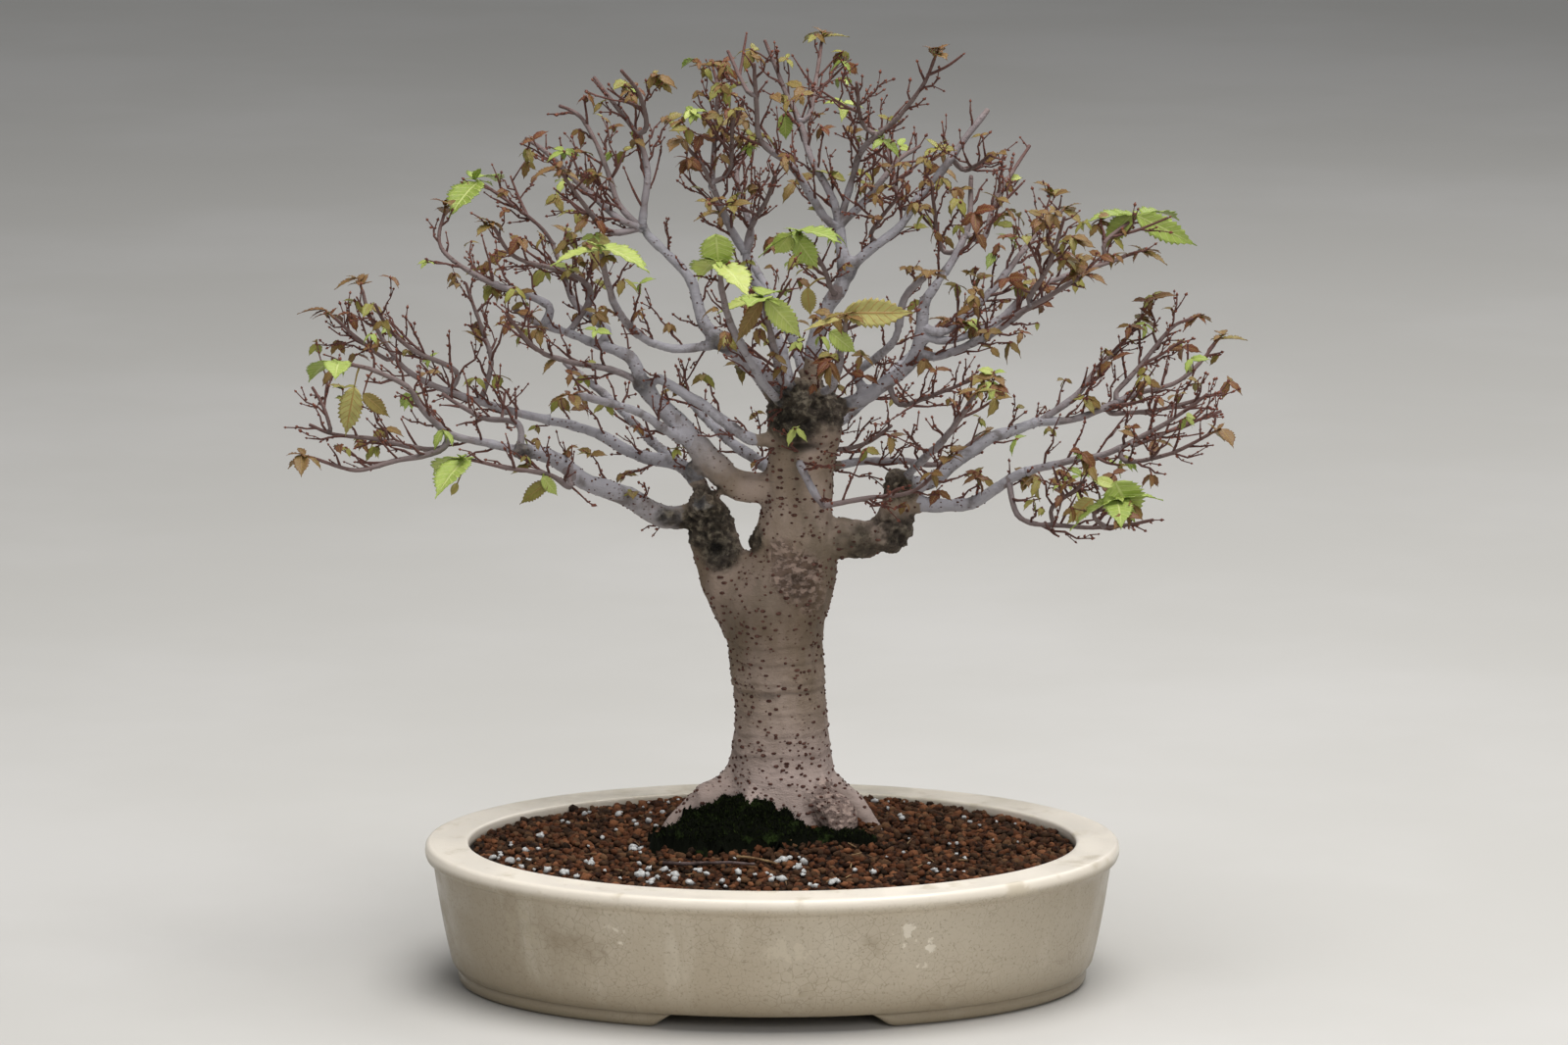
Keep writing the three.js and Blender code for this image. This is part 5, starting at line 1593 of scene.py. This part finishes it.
def make_twigs():
    twigs = Twigs()
    for i, bough in enumerate(all_boughs):
        run, widths = wander(bough["points"], bough["radii"], 3.0, 0.5, i)
        start = 0
        if bough["radii"][0] >= 3.0:
            start = max(2, int((widths > THIN_WOOD * 1.25).sum()) - 1)
        if start < len(run) - 2:
            widths_now = collar(run, widths, bough["radii"][0]) if start == 0 else widths
            tube(twigs.wood, run[start:], widths_now[start:], THIN_BOUGH_SIDES)
        if bough["radii"][-1] < 1.3:
            for base, end, radius in twigs_of(bough, 100 + i):
                bend = mix(base, end, 0.5) + at(0, 0, -1.2)
                path, thick = wander([base, bend, end], [radius, TWIG_RADIUS, 0.6], 3.5, 0.5, 200 + i)
                tube(twigs.wood, path, thick, TWIG_SIDES)
                twigs.side_twigs(path, thick, TWIG_SPACINGS)
                tip = unit(path[-1] - path[-2])
                twigs.tips.append((path[-1], tip))
                add_bud(twigs.buds, path[-1], tip, OWN_BUD_SIZE)
        spacing = THIN_SPACING if bough["radii"][0] < 3 else THICK_SPACING
        twigs.side_twigs(run, widths, spacing)
    place("fine_twigs", twigs.wood.mesh("fine_twigs"), bark, "bark", "tree")
    place("buds", twigs.buds.mesh("buds"), bud_finish, "bark")
    return twigs.tips


# Leaves

# Leaves of a shoot: how many, the shortest and the longest, the shoot's stem, rows along a blade and
# the blade's half width as a share of its length
LEAF_KINDS = {
    "bronze": {"count": 2, "shortest": 13, "longest": 18, "stem": 7, "rows": 18, "wide": 0.27},
    "green": {"count": 2, "shortest": 26, "longest": 38, "stem": 6, "rows": 30, "wide": 0.285},
}
SLOTS = {"bronze": "bronze_leaf", "green": "green_leaf"}
FINISHES = {"bronze": bronze_leaf, "green": green_leaf}

# Places along and across a blade that the part's own leaves reach, as shares of the length
SMALL_SPAN = [(0.22, 0.23), (0.54, 0.26), (0.62, 0.16)]
LARGE_SPAN = [(0.16, 0.2), (0.36, 0.28), (0.42, 0.22), (0.64, 0.25), (0.7, 0.15)]
OUTLINES = {"bronze": SMALL_SPAN, "green": LARGE_SPAN}
COLUMNS = 4
SMALL_COLUMNS = 2
SMALL_ROWS = 7
LARGE_ROWS = 24
SHOOT_RADII = [0.85, 0.65, 0.45]
YOUNG_DROOP = 0.05
YOUNG_WIDTH = 0.85

# Youngest leaves of a shoot: how many, the shortest and the longest
YOUNG_LEAVES = {"bronze": (5, 6, 11), "green": (3, 7, 13)}


def blade_axes(heading, up):
    side = unit(np.cross(heading, up))
    return side, unit(np.cross(side, heading))


def blade_width(share, wide):
    """Half width along an oval leaf with a long drawn-out point."""
    body = np.sin(math.pi * share ** 0.72) ** 0.8
    point = (1 - smooth_step(0.62, 1.0, share)) * 0.8 + 0.2
    return wide * body * point


def add_blade(build, base, heading, up, length, rows, wide, draw, tint, droop=0.0, columns_half=COLUMNS):
    """A toothed, folded and arched blade with a thin edge all round."""
    side, face = blade_axes(heading, up)
    share = np.linspace(0, 1, rows + 1)
    half = blade_width(share, wide)
    teeth = np.where(np.arange(rows + 1) % 2 == 1, 1.1, 0.88)
    teeth[[0, -1]] = 1.0
    curl = draw.uniform(0.02, 0.09) + droop
    twist = draw.uniform(-0.12, 0.12)
    wave = draw.uniform(0.6, 1.4)
    grid, marks = [], []
    for i, t in enumerate(share):
        for k in range(-columns_half, columns_half + 1):
            u = k / columns_half
            reach = half[i] * u * (teeth[i] if abs(u) == 1 else 1)
            forward = t + 0.02 * abs(u) * (1 if i % 2 else 0)
            rise = abs(reach) * BLADE_FOLD - t * t * BLADE_ARCH - curl * t ** 3
            rise += 0.012 * wave * abs(u) * math.sin(t * 30 - abs(u) * 2.2) + twist * reach * t
            grid.append(base + (heading * min(forward, 1.0) + side * reach + face * rise) * length)
            marks.append((t, u))
    grid = np.array(grid)
    marks = np.array(marks)
    columns = 2 * columns_half + 1
    count = len(grid)
    drop = face * BLADE_THICKNESS * min(1.0, length / 20)
    points = np.vstack([grid + drop / 2, grid - drop / 2])
    i, k = np.meshgrid(np.arange(rows), np.arange(columns - 1), indexing="ij")
    a = (i * columns + k).ravel()
    top = np.stack([a, a + 1, a + columns + 1, a + columns], 1)
    under = top[:, ::-1] + count
    ring = list(range(columns))
    ring += [r * columns + columns - 1 for r in range(1, rows + 1)]
    ring += [rows * columns + k for k in range(columns - 2, -1, -1)]
    ring += [r * columns for r in range(rows - 1, 0, -1)]
    ring = np.array(ring)
    after = np.roll(ring, -1)
    rim = np.stack([ring, ring + count, after + count, after], 1)
    build.add(points, top[:, ::-1], under[:, ::-1], rim[:, ::-1], along=np.tile(marks[:, 0], 2),
              across=np.tile(marks[:, 1], 2), tint=tint)


def shoot_plan(bough, seed):
    """The stem and leaves of a shoot as the part draws them."""
    draw = random_from(seed)
    kind = LEAF_KINDS[bough["leaf"]]
    points, radii = bough["points"], bough["radii"]
    along = unit(points[-1] - points[-2])
    start = points[-1] + along * (radii[-1] * 0.5 + TWIG_GAP)
    end = start + along * kind["stem"]
    turn_from = draw() * 2 * math.pi
    count = kind["count"] + (1 if draw() < THREE_LEAF_SHARE else 0)
    leaves = []
    for i in range(count):
        turn = turn_from + i * 2 * math.pi / count + (draw() - 0.5) * 0.8
        base = mix(start, end, mix(0.35, 0.95, i / (count - 1)))
        heading = unit(at(math.cos(turn), math.sin(turn), -0.75 + draw() * 0.7) + along * 0.5)
        leaves.append((base, heading, mix(kind["shortest"], kind["longest"], draw())))
    return start, end, leaves


def plan_box(bough, plan):
    start, end, leaves = plan
    points = []
    for base, heading, length in leaves:
        side, face = blade_axes(heading, at(0, 0, 1))
        points += [base, base + heading * length - face * length * BLADE_ARCH]
        for along, across in OUTLINES[bough["leaf"]]:
            for turn in (-1, 1):
                rise = across * BLADE_FOLD - along * along * BLADE_ARCH
                points.append(base + (heading * along + side * across * turn + face * rise) * length)
    return np.array(points).min(0), np.array(points).max(0)


def kept_plan(bough, index, node):
    """The plan that the part kept is the one whose box is the node's."""
    low, high = (np.array(corner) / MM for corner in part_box(node))
    best, least = None, None
    for draw in range(MOST_TRIES):
        plan = shoot_plan(bough, 1000 * (index + 1) + draw)
        box = plan_box(bough, plan)
        miss = np.abs(box[0] - low).sum() + np.abs(box[1] - high).sum()
        if best is None or miss < least:
            best, least = plan, miss
    return best


def make_shoots():
    draw = np.random.RandomState(SEEDS["shoots"])
    leafy = [bough for bough in all_boughs if bough["leaf"]]
    for index, bough in enumerate(leafy):
        node = "shoot_" + bough["name"].replace(" ", "_")
        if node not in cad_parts:
            continue
        kind = LEAF_KINDS[bough["leaf"]]
        start, end, leaves = kept_plan(bough, index, node)
        build = Build("along", "across", "tint")
        along = unit(end - start)
        line = [start - along * 1.4, mix(start, end, 0.5), end]
        stem, widths = wander(line, SHOOT_RADII, 1.5, 0.15, 300 + index)
        tube(build, stem, widths, 7, tint=0.25, along=0.0, across=0.5)
        older = draw.uniform(0.25, 0.75)
        for base, heading, length in leaves:
            tint = np.clip(older + draw.uniform(-0.2, 0.25), 0, 1)
            tube(build, [base - heading, base + heading * 1.6], [0.32, 0.28], 5, tint=0.2, across=0.5)
            add_blade(build, base, heading, at(0, 0, 1), length, kind["rows"], kind["wide"], draw, tint)
        young, shortest, longest = YOUNG_LEAVES[bough["leaf"]]
        for k in range(young):
            base = mix(start, end, 0.3 + 0.7 * k / young)
            turn = k * 2.4 + draw.uniform(0, 0.9)
            heading = unit(at(math.cos(turn), math.sin(turn), draw.uniform(-0.9, 0.5)) + along * 0.7)
            length = draw.uniform(shortest, longest)
            tint = np.clip(older - 0.25 + draw.uniform(-0.1, 0.2), 0, 1)
            wide = kind["wide"] * YOUNG_WIDTH
            add_blade(build, base, heading, at(0, 0, 1), length, SMALL_ROWS + 2, wide, draw, tint,
                      YOUNG_DROOP, SMALL_COLUMNS)
        name = "leaves_" + bough["name"].replace(" ", "_")
        place(name, build.mesh(name), FINISHES[bough["leaf"]], SLOTS[bough["leaf"]], node)


# How leafy a region is: [x, z, reach, share of tips, share of green], seen from the front
LEAFY_REGIONS = [
    (-70, 505, 60, 0.5, 0.1), (-20, 520, 50, 0.4, 0.15), (30, 530, 40, 0.4, 0.3),
    (-95, 425, 60, 0.45, 0.15), (110, 420, 60, 0.5, 0.1), (180, 425, 50, 0.6, 0.05),
    (210, 370, 50, 0.3, 0.1), (140, 340, 40, 0.5, 0.2), (185, 300, 40, 0.5, 0.2),
    (-185, 400, 50, 0.3, 0.05), (-235, 350, 45, 0.4, 0.2), (-110, 320, 50, 0.45, 0.1),
    (20, 400, 60, 0.4, 0.2), (60, 470, 50, 0.25, 0.1), (-60, 340, 40, 0.2, 0.2),
    (120, 285, 40, 0.4, 0.1),
]
BACKGROUND_SHARE = 0.07
BACKGROUND_GREEN = 0.12
TUFT_LARGEST = (7, 15)
TUFT_WIDTHS = (0.2, 0.27)
TUFT_DROOP = 0.07

# Single leaves that are seen well: [x, z] of the base and of the tip, half width as a share of the
# length, how far the face turns to the viewer, kind and tint
SEEN_LEAVES = [
    (41, 391, 82, 391, 0.20, 0.9, "olive", 0.8), (38, 387, 17, 384, 0.15, 0.3, "olive", 0.9),
    (33, 380, 49, 367, 0.26, 0.9, "green", 0.7), (207, 447, 243, 429, 0.17, 0.9, "green", 0.5),
    (204, 447, 187, 431, 0.27, 0.8, "green", 0.7), (-32, 436, -30, 413, 0.42, 1.0, "green", 0.7),
    (13, 435, 27, 415, 0.27, 1.0, "green", 0.6), (10, 436, 1, 424, 0.4, 1.0, "green", 0.9),
    (-238, 348, -244, 318, 0.22, 0.9, "olive", 0.9), (-233, 344, -217, 330, 0.2, 0.8, "bronze", 0.7),
    (196, 293, 208, 268, 0.44, 1.0, "green", 0.6), (195, 291, 182, 296, 0.25, 0.6, "green", 1.0),
    (183, 283, 167, 268, 0.24, 0.7, "olive", 0.6), (-131, 296, -122, 284, 0.24, 0.9, "green", 0.8),
    (7, 505, 8, 489, 0.28, 1.0, "green", 0.6), (-98, 437, -99, 416, 0.34, 1.0, "olive", 0.8),
    (-3, 399, 18, 375, 0.22, 0.9, "green", 0.8), (-6, 400, -33, 395, 0.15, 0.4, "green", 0.9),
    (-6, 398, -22, 372, 0.14, 0.8, "bronze", 0.6), (20, 405, 22, 388, 0.26, 1.0, "olive", 0.5),
    (-180, 292, -184, 284, 0.24, 0.9, "olive", 0.6), (-128, 293, -146, 280, 0.2, 0.7, "bronze", 0.8),
]
SEEN_FINISHES = {"olive": (olive_leaf, "green_leaf"), "green": (green_leaf, "green_leaf"),
                 "bronze": (bronze_leaf, "bronze_leaf")}
DEPTH_COST = 0.06


def make_seen_leaves():
    """Leaves at chosen places, each on a short stem from the nearest thin wood, the nearer the better."""
    draw = np.random.RandomState(SEEDS["seen leaves"])
    wood = np.concatenate([spline(bough["points"], bough["radii"], 4.0)[0] for bough in all_boughs
                           if bough["radii"][0] < 5])
    scale = 1 + wood[:, 1] / VIEW_DISTANCE
    flat_x = VIEW_SIDE + (wood[:, 0] - VIEW_SIDE) / scale
    flat_z = VIEW_HEIGHT + (wood[:, 2] - VIEW_HEIGHT) / scale
    builds = {kind: Build("along", "across", "tint") for kind in SEEN_FINISHES}
    for x, z, tip_x, tip_z, wide, facing, kind, tint in SEEN_LEAVES:
        cost = np.hypot(flat_x - x, flat_z - z) + DEPTH_COST * wood[:, 1]
        root = wood[int(np.argmin(cost))]
        depth = (root[1] - 3 - TREE_DEPTH) / DEPTH_SPREAD
        base, tip = seen(x, z, depth), seen(tip_x, tip_z, depth)
        length = np.linalg.norm(tip - base)
        heading = unit(tip - base)
        up = unit(at(0, -facing, 1.05 - facing))
        build = builds[kind]
        bend = mix(root, base, 0.5) + at(0, 0, np.linalg.norm(base - root) * 0.15)
        stem, widths = wander([root, bend, base], [0.7, 0.55, 0.42], 2.0, 0.2, 500 + int(x))
        tube(build, stem, widths, 6, tint=0.1, across=0.5)
        add_blade(build, base - heading * 0.5, heading, up, length, LARGE_ROWS, wide, draw, tint)
    for kind, build in builds.items():
        finish, slot = SEEN_FINISHES[kind]
        place(f"{kind}_leaves", build.mesh(f"{kind}_leaves"), finish, slot)


def make_tufts(tips):
    """Newly opened buds: a few small drooping leaves at many of the twig tips."""
    draw = np.random.RandomState(SEEDS["tufts"])
    builds = {}
    for tip, along in tips:
        share, green = BACKGROUND_SHARE, BACKGROUND_GREEN
        for x, z, reach, leafy, greenness in LEAFY_REGIONS:
            near = math.exp(-((tip[0] - x) ** 2 + (tip[2] - z) ** 2) / reach ** 2)
            if near * leafy > share:
                share, green = near * leafy, greenness
        if draw.uniform() > share:
            continue
        kind = "green" if draw.uniform() < green else "bronze"
        side = "left" if tip[0] < 0 else "right"
        build = builds.setdefault((kind, side), Build("along", "across", "tint"))
        count = draw.randint(2, 5)
        older = draw.uniform(0.05, 0.9)
        turn_from = draw.uniform(0, 6.28)
        largest = draw.uniform(*TUFT_LARGEST)
        sprout = tip + along * 2.5
        tube(build, [tip - along * 0.8, sprout], [0.42, 0.32], 5, tint=0.2, across=0.5)
        for k in range(count):
            turn = turn_from + k * 2.4
            heading = unit(at(math.cos(turn), math.sin(turn), draw.uniform(-1.6, 0.3)) + along * 0.5)
            length = largest * draw.uniform(0.6, 1.0)
            end = tip + heading * length
            if not inside_crown(end + (end - tip) * 0.1):
                continue
            tint = np.clip(older + draw.uniform(-0.2, 0.2), 0, 1)
            up = unit(at(draw.normal(0, 0.3), draw.uniform(-1.0, 0.1), 0.8))
            base = mix(tip, sprout, 0.5 + 0.1 * k)
            wide = draw.uniform(*TUFT_WIDTHS)
            add_blade(build, base, heading, up, length, SMALL_ROWS, wide, draw, tint, TUFT_DROOP,
                      SMALL_COLUMNS)
    for (kind, side), build in builds.items():
        name = f"small_{kind}_leaves_{side}"
        place(name, build.mesh(name), FINISHES[kind], SLOTS[kind])


# Floor, light and camera

# Lamps: name, place, what they point at, size across in metres, power in watts
LAMPS = [
    ("overhead", (0.3, -0.4, 2.6), (0, 0, 0.2), 1.9, 70),
    ("front_right", (0.75, -3.6, 1.9), (0, 0, 0.3), 1.6, 30),
    ("back", (1.0, 2.4, 2.2), (0, 0, 0.35), 1.6, 16),
]
ROOM_LIGHT = 0.3
FLOOR_SIZE = 60


def make_stage():
    bpy.ops.mesh.primitive_plane_add(size=FLOOR_SIZE, location=(0, 0, 0))
    floor = bpy.context.object
    floor.name = "pale_floor"
    floor.data.materials.append(floor_finish)
    world = bpy.data.worlds.new("soft_room")
    bpy.context.scene.world = world
    world.use_nodes = True
    world.node_tree.nodes["Background"].inputs["Color"].default_value = colour("E8EBEF")
    world.node_tree.nodes["Background"].inputs["Strength"].default_value = ROOM_LIGHT
    for name, spot, target, size, power in LAMPS:
        light = bpy.data.lights.new(name, "AREA")
        light.shape = "DISK"
        light.size = size
        light.energy = power
        lamp = bpy.data.objects.new(name, light)
        lamp.location = spot
        lamp.rotation_euler = (Vector(target) - Vector(spot)).to_track_quat("-Z", "Y").to_euler()
        bpy.context.scene.collection.objects.link(lamp)


def make_camera():
    lens = bpy.data.cameras.new("front_view")
    lens.lens = CAMERA_LENS
    lens.sensor_width = SENSOR_WIDTH
    camera = bpy.data.objects.new("front_view", lens)
    camera.location = (CAMERA_SIDE * MM, -VIEW_DISTANCE * MM, VIEW_HEIGHT * MM)
    camera.rotation_euler = (math.radians(90 - CAMERA_PITCH), 0, 0)
    bpy.context.scene.collection.objects.link(camera)
    bpy.context.scene.camera = camera


make_camera()
make_stage()
make_pot()
make_soil()
make_pale_grit()
make_moss()
make_stalks()
finish_screens()
bark_points, bark_normals, bark_thickness = make_trunk()
make_lenticels(bark_points, bark_normals, bark_thickness)
twig_tips = make_twigs()
make_shoots()
make_seen_leaves()
make_tufts(twig_tips)

bpy.context.scene.view_settings.view_transform = "Standard"

bpy.context.view_layer.update()
